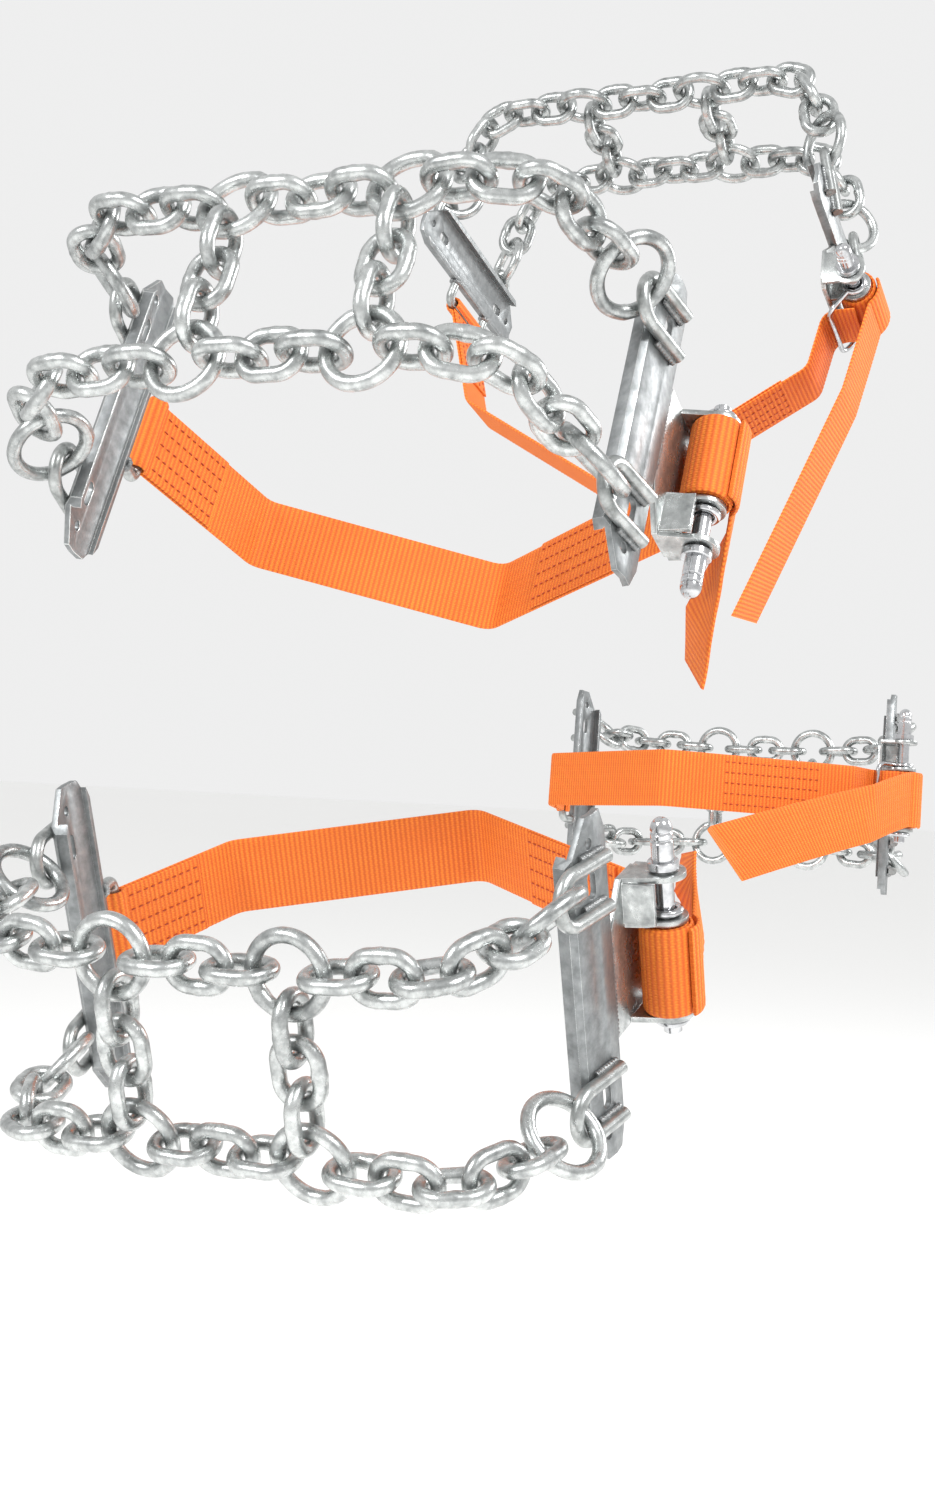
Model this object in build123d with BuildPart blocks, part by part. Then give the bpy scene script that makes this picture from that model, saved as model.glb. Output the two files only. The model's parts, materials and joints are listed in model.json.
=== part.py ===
"""Truck tyre snow chains: four separate chain sections, each one drawn tight by its own webbing strap.

Frame: millimetres, +Z up, origin at the wheel's centre, the axle along Y, the outer face towards -Y.
Each section is laid out once with its middle on +X (X radial, Z along the tread) and is then turned
about the axle to its place. The tyre and the wheel that the sections are fitted to are not part of it.
"""
from build123d import *
from math import asin, cos, degrees, radians, sin, sqrt
import os

# ---------------------------------------------------------------- the tyre that the sections fit
TREAD_RADIUS = 522.0            # wheel centre to tread
TREAD_HALF_WIDTH = 130.0        # middle of the tread to the shoulder
SHOULDER_RADIUS = 23.0          # rounding of the shoulder
SIDEWALL_TURN = 76.0            # how far a side chain turns from tread to sidewall, degrees
RIM_FLANGE_RADIUS = 298.0       # edge of the steel rim
RIM_FLANGE_SIDE = 145.0         # middle of the wheel to the outer face of the rim
HAND_HOLE_RADIUS = 205.0        # wheel centre to the hand hole in the disc
HAND_HOLE_SIDE = 2.0            # how far outboard the disc stands at its hand holes

# ---------------------------------------------------------------- chain
WIRE = 8.0                      # wire of links and rings
LINK_INNER_LENGTH = 24.6        # clear length inside a link
LINK_INNER_WIDTH = 14.6         # clear width inside a link
RING_OUTER = 47.0               # junction ring on the tread
END_RING_OUTER = 50.0           # ring that joins a side chain to its eye
END_RING_ROLL = 48.0            # how far the end ring leans out of the chain's plane, degrees
END_LINK_TWIST = 15.0           # twist of the last link, with the ring's lean, degrees
CHAIN_GAP = 1.0                 # play where one link bears on the next
END_RING_PLAY = 1.1            # extra play where a leaning end ring bears on its link and its eye
SIDE_LINKS = 5                  # links between a junction ring and an end ring
BAR_SPLAY = 9.0                 # how much further apart the two chains are at the bar, each side

# ---------------------------------------------------------------- eyes and bars
EYE_WIRE = 7.5                  # rod of a welded eye
EYE_LEG_SPACING = 27.0          # between the middles of an eye's two legs
EYE_LEG_LENGTH = 30.0           # straight part of a leg
EYE_PLAY = 1.6                  # ring to the inside of the eye's bow, so that the eye can swing on it
BAR_LENGTH = 190.0
BAR_WIDTH = 38.0
BAR_WALL = 3.5                  # plate that the bar is pressed from
BAR_DEPTH = 10.0                # depth of the turned-down edges
BAR_FOLD = 24.0                 # tread-side edge to the fold that runs along the face
BAR_FOLD_DROP = 3.5             # how far the face slopes down past the fold
BAR_EDGE_BEVEL = 3.0            # slope between the face and the tread-side edge
BAR_END_CUT = 22.0              # corner cut off at each end, along the bar
BAR_END_DEPTH = 16.0            # corner cut off at each end, across the bar
BAR_CORNER_ALONG = 12.0         # small cut at the rim-side corners, along the bar
BAR_CORNER_ACROSS = 6.0         # small cut at the rim-side corners, across the bar
BAR_SETBACK = 6.0               # ring seat to the bar's tread-side edge
SLOT_LENGTH = 15.0              # slot between an eye's legs
SLOT_WIDTH = 7.0
SLOT_TO_FOLD = 2.0              # slot's edge to the fold
DRAIN_HOLE = 6.0                # small round hole near each end
DRAIN_TO_FOLD = 6.0             # hole's middle to the fold
DRAIN_TO_END = 14.0             # hole's middle to the end of the bar

# ---------------------------------------------------------------- buckle and spindle
WEBBING_WIDTH = 50.0
WEBBING_THICKNESS = 2.6
ROLL_DIAMETER = 31.0            # webbing wound on the spindle
SPINDLE_DIAMETER = 10.0
ROLL_SEAT_GAP = 0.1             # roll to spindle
SPINDLE_SLOT = 3.2              # slot that the webbing passes through
PIN_CLEARANCE = 0.3             # radial play of the spindle in its ears
PLATE_WALL = 3.5                # plate that the buckle frame is pressed from
PLATE_RISE = 7.0                # foot of the buckle frame, measured along the bar's rim-side edge
WELD_GAP = 0.8                  # bar to the buckle frame's foot
BUCKLE_SHIFT = 8.0              # buckle frame's middle to the bar's middle, away from the spindle's head
PLATE_REACH = 49.0              # how far the buckle frame reaches from the bar towards the rim
PLATE_LEAN = 12.0               # how far the frame leans inboard from the bar's face, degrees
ROLL_ALONG = 37.0               # bar's rim-side edge to the spindle, along the frame
ROLL_CLEARANCE = 2.2            # roll to frame plate
EAR_CLEARANCE = 1.0             # roll to ear, each side
EAR_WALL = 3.2
EAR_HEAD = 12.0                 # rounding radius of an ear round the spindle
EAR_FOOT = 4.0                  # how much further an ear's foot reaches towards the bar
EAR_TUCK = 2.0                  # how far an ear's rim side stands back from its rounding
FRAME_FLARE = 0.4               # share of its reach at which the plate has its full width
FRAME_CORNER = 6.0              # corner cut off the plate's rim side
GUARD_LAP = 1.0                 # guard's lap on the two ears beside it
OUTER_EAR_OFFSET = 25.0         # main ear to the outer ear on the head side
COLLAR_DIAMETER = 17.0
COLLAR_WIDTH = 5.0
HEAD_LENGTH = 24.0              # rounded end beyond the collar
HEAD_DIAMETER = 12.0
HEAD_ROUND = 1.6                # length of the rounding of that end, as a share of its radius
HEAD_SHOULDER = (0.8, 0.6)      # point on that rounding: off the axis and from the tip, same share
HEAD_FLAT = 0.3                 # flat at the tip, same share
TAIL_END_LENGTH = 10.0          # plain end of the spindle beyond the other ear
EDGE_BREAK = 1.0                # broken edge of that plain end

# ---------------------------------------------------------------- lock bail
BAIL_WIRE = 4.0
BAIL_EYE_GAP = 0.6              # bail eye to ear and to spindle
BAIL_REACH = 30.0               # spindle to the bail's cross wire
BAIL_ANGLE = 38.0               # resting angle below the line from the spindle to the rim, degrees

# ---------------------------------------------------------------- strap
STRAP_SEAT_GAP = 0.5            # strap to roll and to bar
STRAP_BEND = 14.0               # bend of the strap where it turns over an edge
FLANGE_GAP = 3.0                # strap's middle line to the rim flange
INNER_PASS_RADIUS = 289.0       # strap's middle line at the rim's inner edge, from the wheel's centre
INNER_PASS_SIDE = 137.0         # the same, from the middle of the wheel
LOOP_ROD = 7.5                  # rod that the strap is sewn round, welded to the inner bar
LOOP_ROD_SPACING = 64.0         # between its two legs
LOOP_ROD_REACH = 17.0           # bar's rim-side edge to the rod
TAIL_ANGLE = 30.0               # where the tail leaves the roll, from the rim side outwards, degrees
TAIL_GAP = 0.3                  # root of the free tail to the roll
TAIL_POINT = 20.0               # slanted cut at the end of the tail

# ---------------------------------------------------------------- the four sections
# angle round the wheel, shift of the mat towards the inboard side, side of the spindle's head, and
# the free tail's bend (radial, outboard) and tip (radial, outboard, tread-wise) in the section's frame
SECTIONS = {
    "upper_front": dict(angle=156.0, shift=-17.0, hand=1, bend=(306.0, 188.0), tip=(283.0, 162.0, 100.0)),
    "lower_front": dict(angle=199.0, shift=0.0, hand=-1, bend=(318.0, 186.0), tip=(298.0, 165.0, -42.0)),
    "upper_rear": dict(angle=76.0, shift=3.0, hand=1, bend=(278.0, 179.0), tip=(82.0, 120.0, 27.0)),
    "lower_rear": dict(angle=-4.0, shift=-8.0, hand=1, bend=(284.0, 170.0), tip=(152.0, 62.0, -78.0)),
}

# ---------------------------------------------------------------- worked-out sizes
LINK_OUTER_WIDTH = LINK_INNER_WIDTH + 2 * WIRE
CHAIN_RADIUS = TREAD_RADIUS + LINK_OUTER_WIDTH / 2 + 0.4    # chain's middle line over the tread
SHOULDER_BEND = SHOULDER_RADIUS + CHAIN_RADIUS - TREAD_RADIUS
TREAD_FLAT = TREAD_HALF_WIDTH - SHOULDER_RADIUS
RING_SEAT = (RING_OUTER - WIRE) / 2                         # radius of a junction ring's wire
END_RING_SEAT = (END_RING_OUTER - WIRE) / 2
LONG_STEP = LINK_INNER_LENGTH + WIRE                        # a flat link, wire to wire
SHORT_STEP = LINK_INNER_LENGTH - WIRE - 2 * CHAIN_GAP       # a standing link, seat to seat
MAT_STEP = LONG_STEP + 2 * SHORT_STEP                       # three links between two rings
RING_PITCH = MAT_STEP + 2 * RING_SEAT                       # ring to ring across the tread
LADDER_ANGLE = degrees(asin((MAT_STEP / 2 + RING_SEAT) / CHAIN_RADIUS))
RING_Z = CHAIN_RADIUS * sin(radians(LADDER_ANGLE))          # ring to the section's middle
BAR_FACE = EYE_WIRE / 2                                     # bar's face below the chain's middle line
BAR_BASE = BAR_FACE + BAR_DEPTH                             # bar's underside below the same line
EAR_INNER = WEBBING_WIDTH / 2 + EAR_CLEARANCE
EAR_OUTER = EAR_INNER + EAR_WALL
OUTER_EAR = EAR_INNER + OUTER_EAR_OFFSET
ROLL_HEIGHT = PLATE_WALL / 2 + ROLL_CLEARANCE + ROLL_DIAMETER / 2
BAIL_EYE_RADIUS = SPINDLE_DIAMETER / 2 + BAIL_EYE_GAP + BAIL_WIRE / 2


def chain_line(distance, side, spread):
    """Point of a cross chain's middle line, that far from the crown's middle, on side -1 (outboard) or 1."""
    turn = radians(SIDEWALL_TURN)
    bend = SHOULDER_BEND * turn
    if distance < TREAD_FLAT:
        across, radius = distance, CHAIN_RADIUS
    elif distance < TREAD_FLAT + bend:
        angle = (distance - TREAD_FLAT) / SHOULDER_BEND
        across = TREAD_FLAT + SHOULDER_BEND * sin(angle)
        radius = CHAIN_RADIUS - SHOULDER_BEND * (1 - cos(angle))
    else:
        run = distance - TREAD_FLAT - bend
        across = TREAD_FLAT + SHOULDER_BEND * sin(turn) + run * cos(turn)
        radius = CHAIN_RADIUS - SHOULDER_BEND * (1 - cos(turn)) - run * sin(turn)
    return Vector(sqrt(radius ** 2 - spread ** 2), side * across, spread)


def next_seat(distance, step, side, here, spread_at):
    """Distance along the line at which the next seat lies one step, in a straight line, from here."""
    low, high = distance, distance + 1.5 * step + WIRE
    for _ in range(50):
        middle = (low + high) / 2
        if (chain_line(middle, side, spread_at(middle)) - here).length < step:
            low = middle
        else:
            high = middle
    return (low + high) / 2


def side_seats(side, shift, up):
    """Seats of one side chain, from its junction ring to the far seat of its end ring."""
    start = RING_PITCH / 2 + side * shift
    total = RING_SEAT + SIDE_LINKS * (LONG_STEP + SHORT_STEP) / 2 + 2 * END_RING_SEAT

    def spread_at(distance):
        past_ring = max(0.0, distance - start)
        return up * (RING_Z + BAR_SPLAY * past_ring / total)

    distance = start + RING_SEAT
    seats = [chain_line(distance, side, spread_at(distance))]
    steps = [SHORT_STEP if number % 2 == 0 else LONG_STEP for number in range(SIDE_LINKS)]
    steps[-1] -= END_RING_PLAY
    for step in steps + [2 * END_RING_SEAT]:
        distance = next_seat(distance, step, side, seats[-1], spread_at)
        seats.append(chain_line(distance, side, spread_at(distance)))
    return seats


def link_place(start, end, out, standing):
    """Place for a link between two seats; a standing link has its flat side across the chain."""
    along = (end - start).normalized()
    out = (out - along * out.dot(along)).normalized()
    normal = along.cross(out) if standing else out
    return Plane(origin=(start + end) * 0.5, x_dir=along, z_dir=normal).location


def outward(start, end, side):
    """Direction that points away from the tyre at a stretch of side chain."""
    along = (end - start).normalized()
    out = along.cross(Vector(0, 0, 1)) * side
    return out.normalized()


with BuildPart() as chain_link:
    run = (LINK_INNER_LENGTH - LINK_INNER_WIDTH) / 2
    bow = (LINK_INNER_WIDTH + WIRE) / 2
    with BuildLine() as link_path:
        Line((0, bow), (run, bow))
        ThreePointArc((run, bow), (run + bow, 0), (run, -bow))
        Line((run, -bow), (-run, -bow))
        ThreePointArc((-run, -bow), (-run - bow, 0), (-run, bow))
        Line((-run, bow), (0, bow))
    with BuildSketch(Plane(origin=(0, bow, 0), z_dir=(1, 0, 0))):
        Circle(WIRE / 2)
    sweep(path=link_path.wires()[0])

with BuildPart() as junction_ring:
    Torus(RING_SEAT, WIRE / 2)

with BuildPart() as end_ring:
    Torus(END_RING_SEAT, WIRE / 2)


def tread_chain_places(shift):
    """Places of the three links between the two rings of each cross chain."""
    places = []
    for up in (-1, 1):
        radial = Vector(cos(radians(LADDER_ANGLE)), 0, up * sin(radians(LADDER_ANGLE)))
        start = radial * CHAIN_RADIUS + Vector(0, shift - MAT_STEP / 2, 0)
        for number, step in enumerate((SHORT_STEP, LONG_STEP, SHORT_STEP)):
            end = start + Vector(0, step, 0)
            places.append(link_place(start, end, radial, number != 1))
            start = end
    return places


def ladder_places(shift):
    """Places of the three links that tie the two cross chains together at each pair of rings."""
    places = []
    for across in (-1, 1):
        height = MAT_STEP / 2
        lean = radians(LADDER_ANGLE)
        radius = CHAIN_RADIUS * cos(lean) + RING_SEAT * sin(lean)
        start = Vector(radius, shift + across * RING_PITCH / 2, -height)
        for number, step in enumerate((SHORT_STEP, LONG_STEP, SHORT_STEP)):
            end = start + Vector(0, 0, step)
            places.append(link_place(start, end, Vector(1, 0, 0), number != 1))
            start = end
    return places


def ring_places(shift):
    """Places of the four junction rings."""
    places = []
    for up in (-1, 1):
        radial = Vector(cos(radians(LADDER_ANGLE)), 0, up * sin(radians(LADDER_ANGLE)))
        for across in (-1, 1):
            middle = radial * CHAIN_RADIUS + Vector(0, shift + across * RING_PITCH / 2, 0)
            places.append(Plane(origin=middle, x_dir=(0, 1, 0), z_dir=radial).location)
    return places


def bar_plane(side, shift):
    """Plane of a bar: origin at its tread-side edge, X to the rim, Z away from the tyre."""
    lower, upper = (side_seats(side, shift, up) for up in (-1, 1))
    seat = (lower[-1] + upper[-1]) * 0.5
    along = (seat - (lower[-2] + upper[-2]) * 0.5).normalized()
    out = outward(seat - along, seat, side)
    return Plane(origin=seat + along * BAR_SETBACK, x_dir=along, z_dir=out)


def eye_spread(side, shift):
    """Eye to the middle of its bar."""
    return side_seats(side, shift, 1)[-1].Z


def make_side_chains(side, shift):
    """Both side chains of one side: the links and the end rings."""
    with BuildPart() as side_chains:
        for up in (-1, 1):
            seats = side_seats(side, shift, up)
            for number in range(SIDE_LINKS):
                start, end = seats[number], seats[number + 1]
                end += (end - start).normalized() * (END_RING_PLAY if number == SIDE_LINKS - 1 else 0)
                place = link_place(start, end, outward(start, end, side), number % 2 == 0)
                twist = up * side * END_LINK_TWIST * (number / (SIDE_LINKS - 1)) ** 3
                with Locations(place * Location((0, 0, 0), (twist, 0, 0))):
                    add(chain_link.part)
            start, end = seats[-2], seats[-1]
            place = link_place(start, end, outward(start, end, side), False)
            with Locations(place * Location((0, 0, 0), (up * side * END_RING_ROLL, 0, 0))):
                add(end_ring.part)
    return side_chains.part


def make_tread_chains(shift):
    """The links between the rings of both cross chains."""
    with BuildPart() as tread_chains:
        with Locations(*tread_chain_places(shift)):
            add(chain_link.part)
    return tread_chains.part


def make_ladder_chains(shift):
    """The links that tie the two cross chains together."""
    with BuildPart() as ladder_chains:
        with Locations(*ladder_places(shift)):
            add(chain_link.part)
    return ladder_chains.part


def make_junction_rings(shift):
    """The four rings on the tread."""
    with BuildPart() as junction_rings:
        with Locations(*ring_places(shift)):
            add(junction_ring.part)
    return junction_rings.part


def make_bar(plane, spread):
    """Pressed bar: a face with a fold along it and both long edges turned down, corners cut at its ends."""
    length_axis = plane.y_dir
    start = Plane(origin=plane.origin - length_axis * BAR_LENGTH / 2, x_dir=plane.x_dir, z_dir=length_axis)
    turned = -1 if start.y_dir.dot(plane.z_dir) < 0 else 1
    face, base = -BAR_FACE * turned, -BAR_BASE * turned
    wall, drop, bevel = BAR_WALL * turned, BAR_FOLD_DROP * turned, BAR_EDGE_BEVEL * turned
    with BuildPart() as bar:
        with BuildSketch(start):
            with BuildLine():
                Polyline(
                    (0, base), (0, face - bevel), (BAR_EDGE_BEVEL, face), (BAR_FOLD, face),
                    (BAR_WIDTH, face - drop), (BAR_WIDTH, base), (BAR_WIDTH - BAR_WALL, base),
                    (BAR_WIDTH - BAR_WALL, face - drop - wall), (BAR_FOLD, face - wall),
                    (BAR_EDGE_BEVEL, face - wall), (BAR_WALL, face - bevel - wall / 2), (BAR_WALL, base),
                    close=True,
                )
            make_face()
        extrude(amount=BAR_LENGTH)
        half = BAR_LENGTH / 2
        with BuildSketch(plane.offset(-2 * BAR_BASE)):
            with BuildLine():
                Polyline(
                    (0, half - BAR_END_CUT), (BAR_END_DEPTH, half), (BAR_WIDTH - BAR_CORNER_ACROSS, half),
                    (BAR_WIDTH, half - BAR_CORNER_ALONG), (BAR_WIDTH, BAR_CORNER_ALONG - half),
                    (BAR_WIDTH - BAR_CORNER_ACROSS, -half), (BAR_END_DEPTH, -half), (0, BAR_END_CUT - half),
                    close=True,
                )
            make_face()
        extrude(amount=4 * BAR_BASE, mode=Mode.INTERSECT)
        with BuildSketch(plane):
            slot_across = BAR_FOLD - SLOT_TO_FOLD - SLOT_WIDTH / 2
            with Locations((slot_across, spread), (slot_across, -spread)):
                SlotOverall(SLOT_LENGTH, SLOT_WIDTH, rotation=90)
            drain_across, drain_along = BAR_FOLD - DRAIN_TO_FOLD, half - DRAIN_TO_END
            with Locations((drain_across, drain_along), (drain_across, -drain_along)):
                Circle(DRAIN_HOLE / 2)
        extrude(amount=BAR_BASE, both=True, mode=Mode.SUBTRACT)
    return bar.part


def make_eyes(plane, spread):
    """Two U-shaped eyes whose legs lie across the bar's face and are welded to it."""
    half = EYE_LEG_SPACING / 2
    apex = -BAR_SETBACK - WIRE / 2 - EYE_WIRE / 2 - EYE_PLAY
    with BuildPart() as eyes:
        for middle in (-spread, spread):
            bow = apex + half
            with BuildLine(plane) as eye_path:
                Line((bow + EYE_LEG_LENGTH, middle + half), (bow, middle + half))
                ThreePointArc((bow, middle + half), (apex, middle), (bow, middle - half))
                Line((bow, middle - half), (bow + EYE_LEG_LENGTH, middle - half))
            leg_end = plane.from_local_coords(Vector(bow + EYE_LEG_LENGTH, middle + half, 0))
            with BuildSketch(Plane(origin=leg_end, z_dir=-plane.x_dir)):
                Circle(EYE_WIRE / 2)
            sweep(path=eye_path.wires()[0])
    return eyes.part


def frame_plane(plane, slide):
    """Plane of the buckle frame: origin at the bar's rim-side edge, X to the rim, Z off the tyre."""
    level = -BAR_FACE - BAR_FOLD_DROP - PLATE_RISE / 2
    edge = plane.from_local_coords(Vector(BAR_WIDTH + WELD_GAP, 0, level)) + Vector(0, 0, slide)
    leaning = Plane(Location(plane) * Location((0, 0, 0), (0, PLATE_LEAN, 0)))
    return Plane(origin=edge, x_dir=leaning.x_dir, z_dir=leaning.z_dir)


def spindle_point(frame):
    """Middle of the spindle."""
    return frame.from_local_coords(Vector(ROLL_ALONG, 0, ROLL_HEIGHT))


def make_buckle_frame(frame, head):
    """Pressed frame welded to the bar: a plate, two ears beside the roll, and an outer ear with a guard."""
    wide = EAR_OUTER if head < 0 else OUTER_EAR + EAR_WALL
    narrow = EAR_OUTER if head > 0 else OUTER_EAR + EAR_WALL
    with BuildPart() as buckle_frame:
        with BuildSketch(frame):
            with BuildLine():
                Polyline(
                    (0, -EAR_OUTER), (0, EAR_OUTER), (PLATE_REACH * FRAME_FLARE, wide),
                    (PLATE_REACH - FRAME_CORNER, wide), (PLATE_REACH, wide - FRAME_CORNER),
                    (PLATE_REACH, FRAME_CORNER - narrow), (PLATE_REACH - FRAME_CORNER, -narrow),
                    (PLATE_REACH * FRAME_FLARE, -narrow),
                    close=True,
                )
            make_face()
        extrude(amount=PLATE_WALL / 2, both=True)
        for inner in (head * EAR_INNER, head * OUTER_EAR, -head * EAR_INNER):
            outer = inner + EAR_WALL * (1 if inner > 0 else -1)
            start = Plane(origin=frame.from_local_coords(Vector(0, inner, 0)), x_dir=frame.x_dir,
                          z_dir=frame.y_dir * (1 if outer > inner else -1))
            rise = 1 if start.y_dir.dot(frame.z_dir) > 0 else -1
            with BuildSketch(start):
                with Locations((ROLL_ALONG, rise * ROLL_HEIGHT)):
                    Circle(EAR_HEAD)
                with BuildLine():
                    Polyline(
                        (ROLL_ALONG - EAR_HEAD - EAR_FOOT, 0), (ROLL_ALONG - EAR_HEAD, rise * ROLL_HEIGHT),
                        (ROLL_ALONG + EAR_HEAD - EAR_TUCK, rise * ROLL_HEIGHT),
                        (ROLL_ALONG + EAR_HEAD - EAR_TUCK, 0),
                        close=True,
                    )
                make_face()
            extrude(amount=EAR_WALL)
        guard = Plane(origin=frame.from_local_coords(Vector(ROLL_ALONG - EAR_HEAD - EAR_TUCK, 0, 0)),
                      x_dir=frame.y_dir, z_dir=frame.x_dir)
        rise = 1 if guard.y_dir.dot(frame.z_dir) > 0 else -1
        with BuildSketch(guard):
            with Locations((head * (EAR_OUTER + OUTER_EAR) / 2, rise * ROLL_HEIGHT / 2)):
                Rectangle(OUTER_EAR - EAR_OUTER + GUARD_LAP, ROLL_HEIGHT)
        extrude(amount=-EAR_WALL)
        bore_start = frame.from_local_coords(Vector(ROLL_ALONG, -2 * OUTER_EAR, ROLL_HEIGHT))
        with BuildSketch(Plane(origin=bore_start, z_dir=frame.y_dir)):
            Circle(SPINDLE_DIAMETER / 2 + PIN_CLEARANCE)
        extrude(amount=4 * OUTER_EAR, mode=Mode.SUBTRACT)
    return buckle_frame.part


def make_spindle(frame, head):
    """Slotted spindle that the webbing winds on, with a collar and a rounded end on one side."""
    axis = frame.y_dir * head
    foot = spindle_point(frame) - axis * (EAR_OUTER + TAIL_END_LENGTH)
    length = EAR_OUTER + TAIL_END_LENGTH + OUTER_EAR + EAR_WALL + EAR_CLEARANCE
    profile = Plane(origin=foot, x_dir=frame.z_dir, z_dir=frame.z_dir.cross(axis))
    shaft, collar, end = SPINDLE_DIAMETER / 2, COLLAR_DIAMETER / 2, HEAD_DIAMETER / 2
    top = length + COLLAR_WIDTH + HEAD_LENGTH
    rounding = top - end * HEAD_ROUND
    with BuildPart() as spindle:
        with BuildSketch(profile):
            with BuildLine():
                Polyline(
                    (0, 0), (shaft - EDGE_BREAK, 0), (shaft, EDGE_BREAK), (shaft, length), (collar, length),
                    (collar, length + COLLAR_WIDTH), (end, length + COLLAR_WIDTH), (end, rounding),
                )
                ThreePointArc((end, rounding), (end * HEAD_SHOULDER[0], top - end * HEAD_SHOULDER[1]),
                              (end * HEAD_FLAT, top))
                Polyline((end * HEAD_FLAT, top), (0, top), (0, 0))
            make_face()
        revolve(axis=Axis(foot, axis))
        with BuildSketch(Plane(origin=spindle_point(frame), x_dir=frame.y_dir, z_dir=frame.x_dir)):
            Rectangle(WEBBING_WIDTH, SPINDLE_SLOT)
        extrude(amount=SPINDLE_DIAMETER, both=True, mode=Mode.SUBTRACT)
    return spindle.part


def make_roll(frame):
    """Turns of webbing wound on the spindle, as one thick ring."""
    with BuildPart() as roll:
        with BuildSketch(Plane(origin=spindle_point(frame), z_dir=frame.y_dir)):
            Circle(ROLL_DIAMETER / 2)
            Circle(SPINDLE_DIAMETER / 2 + ROLL_SEAT_GAP, mode=Mode.SUBTRACT)
        extrude(amount=WEBBING_WIDTH / 2, both=True)
    return roll.part


def make_bail(frame):
    """Wire bail that turns on the spindle outside the two main ears and keeps the strap on the roll."""
    side = EAR_OUTER + BAIL_EYE_GAP + BAIL_WIRE / 2
    centre = spindle_point(frame)
    lean = radians(BAIL_ANGLE)
    reach_dir = frame.x_dir * cos(lean) - frame.z_dir * sin(lean)
    flat = Plane(origin=centre, x_dir=reach_dir, z_dir=reach_dir.cross(frame.y_dir))
    with BuildPart() as bail:
        with BuildLine(flat) as bail_path:
            FilletPolyline(
                (BAIL_EYE_RADIUS, -side), (BAIL_REACH, -side), (BAIL_REACH, side), (BAIL_EYE_RADIUS, side),
                radius=BAIL_WIRE * 2,
            )
        with BuildSketch(Plane(origin=flat.from_local_coords(Vector(BAIL_EYE_RADIUS, -side, 0)),
                               z_dir=flat.x_dir)):
            Circle(BAIL_WIRE / 2)
        sweep(path=bail_path.wires()[0])
        for end in (-side, side):
            with Locations(Plane(origin=centre + frame.y_dir * end, z_dir=frame.y_dir).location):
                Torus(BAIL_EYE_RADIUS, BAIL_WIRE / 2)
    return bail.part


def make_loop_rod(plane, slide):
    """Rod welded to the inner bar's rim-side edge, that the strap is sewn round, and the rod's middle."""
    half = LOOP_ROD_SPACING / 2
    drop = -BAR_FACE - BAR_FOLD_DROP - LOOP_ROD / 2
    origin = plane.from_local_coords(Vector(0, 0, drop)) + Vector(0, 0, slide)
    level = Plane(origin=origin, x_dir=plane.x_dir, z_dir=plane.z_dir)
    with BuildPart() as loop_rod:
        with BuildLine(level) as rod_path:
            FilletPolyline(
                (BAR_WIDTH, -half), (BAR_WIDTH + LOOP_ROD_REACH, -half),
                (BAR_WIDTH + LOOP_ROD_REACH, half), (BAR_WIDTH, half),
                radius=LOOP_ROD * 0.75,
            )
        with BuildSketch(Plane(origin=level.from_local_coords(Vector(BAR_WIDTH, -half, 0)),
                               z_dir=level.x_dir)):
            Circle(LOOP_ROD / 2)
        sweep(path=rod_path.wires()[0])
    return loop_rod.part, level.from_local_coords(Vector(BAR_WIDTH + LOOP_ROD_REACH, 0, 0))


def make_strap(frame, rod_middle):
    """Load strap: off the roll, over the rim flange, through the hand hole and round the inner bar's rod."""
    side_line = ROLL_ALONG + ROLL_DIAMETER / 2 + STRAP_SEAT_GAP + WEBBING_THICKNESS / 2
    top = frame.from_local_coords(Vector(side_line, 0, ROLL_HEIGHT))
    below = frame.from_local_coords(Vector(side_line, 0, -PLATE_WALL))
    loop_inner = LOOP_ROD / 2 + STRAP_SEAT_GAP
    loop_outer = loop_inner + WEBBING_THICKNESS
    flange = RIM_FLANGE_RADIUS + FLANGE_GAP
    join = (rod_middle.X - loop_inner - WEBBING_THICKNESS / 2, rod_middle.Y)
    with BuildPart() as strap:
        with BuildSketch(Plane.XY.offset(top.Z - WEBBING_WIDTH / 2)):
            with BuildLine():
                FilletPolyline(
                    (top.X, top.Y), (below.X, below.Y), (flange, -RIM_FLANGE_SIDE - FLANGE_GAP),
                    (HAND_HOLE_RADIUS, -HAND_HOLE_SIDE), (INNER_PASS_RADIUS, INNER_PASS_SIDE),
                    join,
                    radius=STRAP_BEND,
                )
            trace(line_width=WEBBING_THICKNESS)
            with Locations((rod_middle.X, rod_middle.Y)):
                Circle(loop_outer)
                Circle(loop_inner, mode=Mode.SUBTRACT)
        extrude(amount=WEBBING_WIDTH)
    return strap.part


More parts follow.
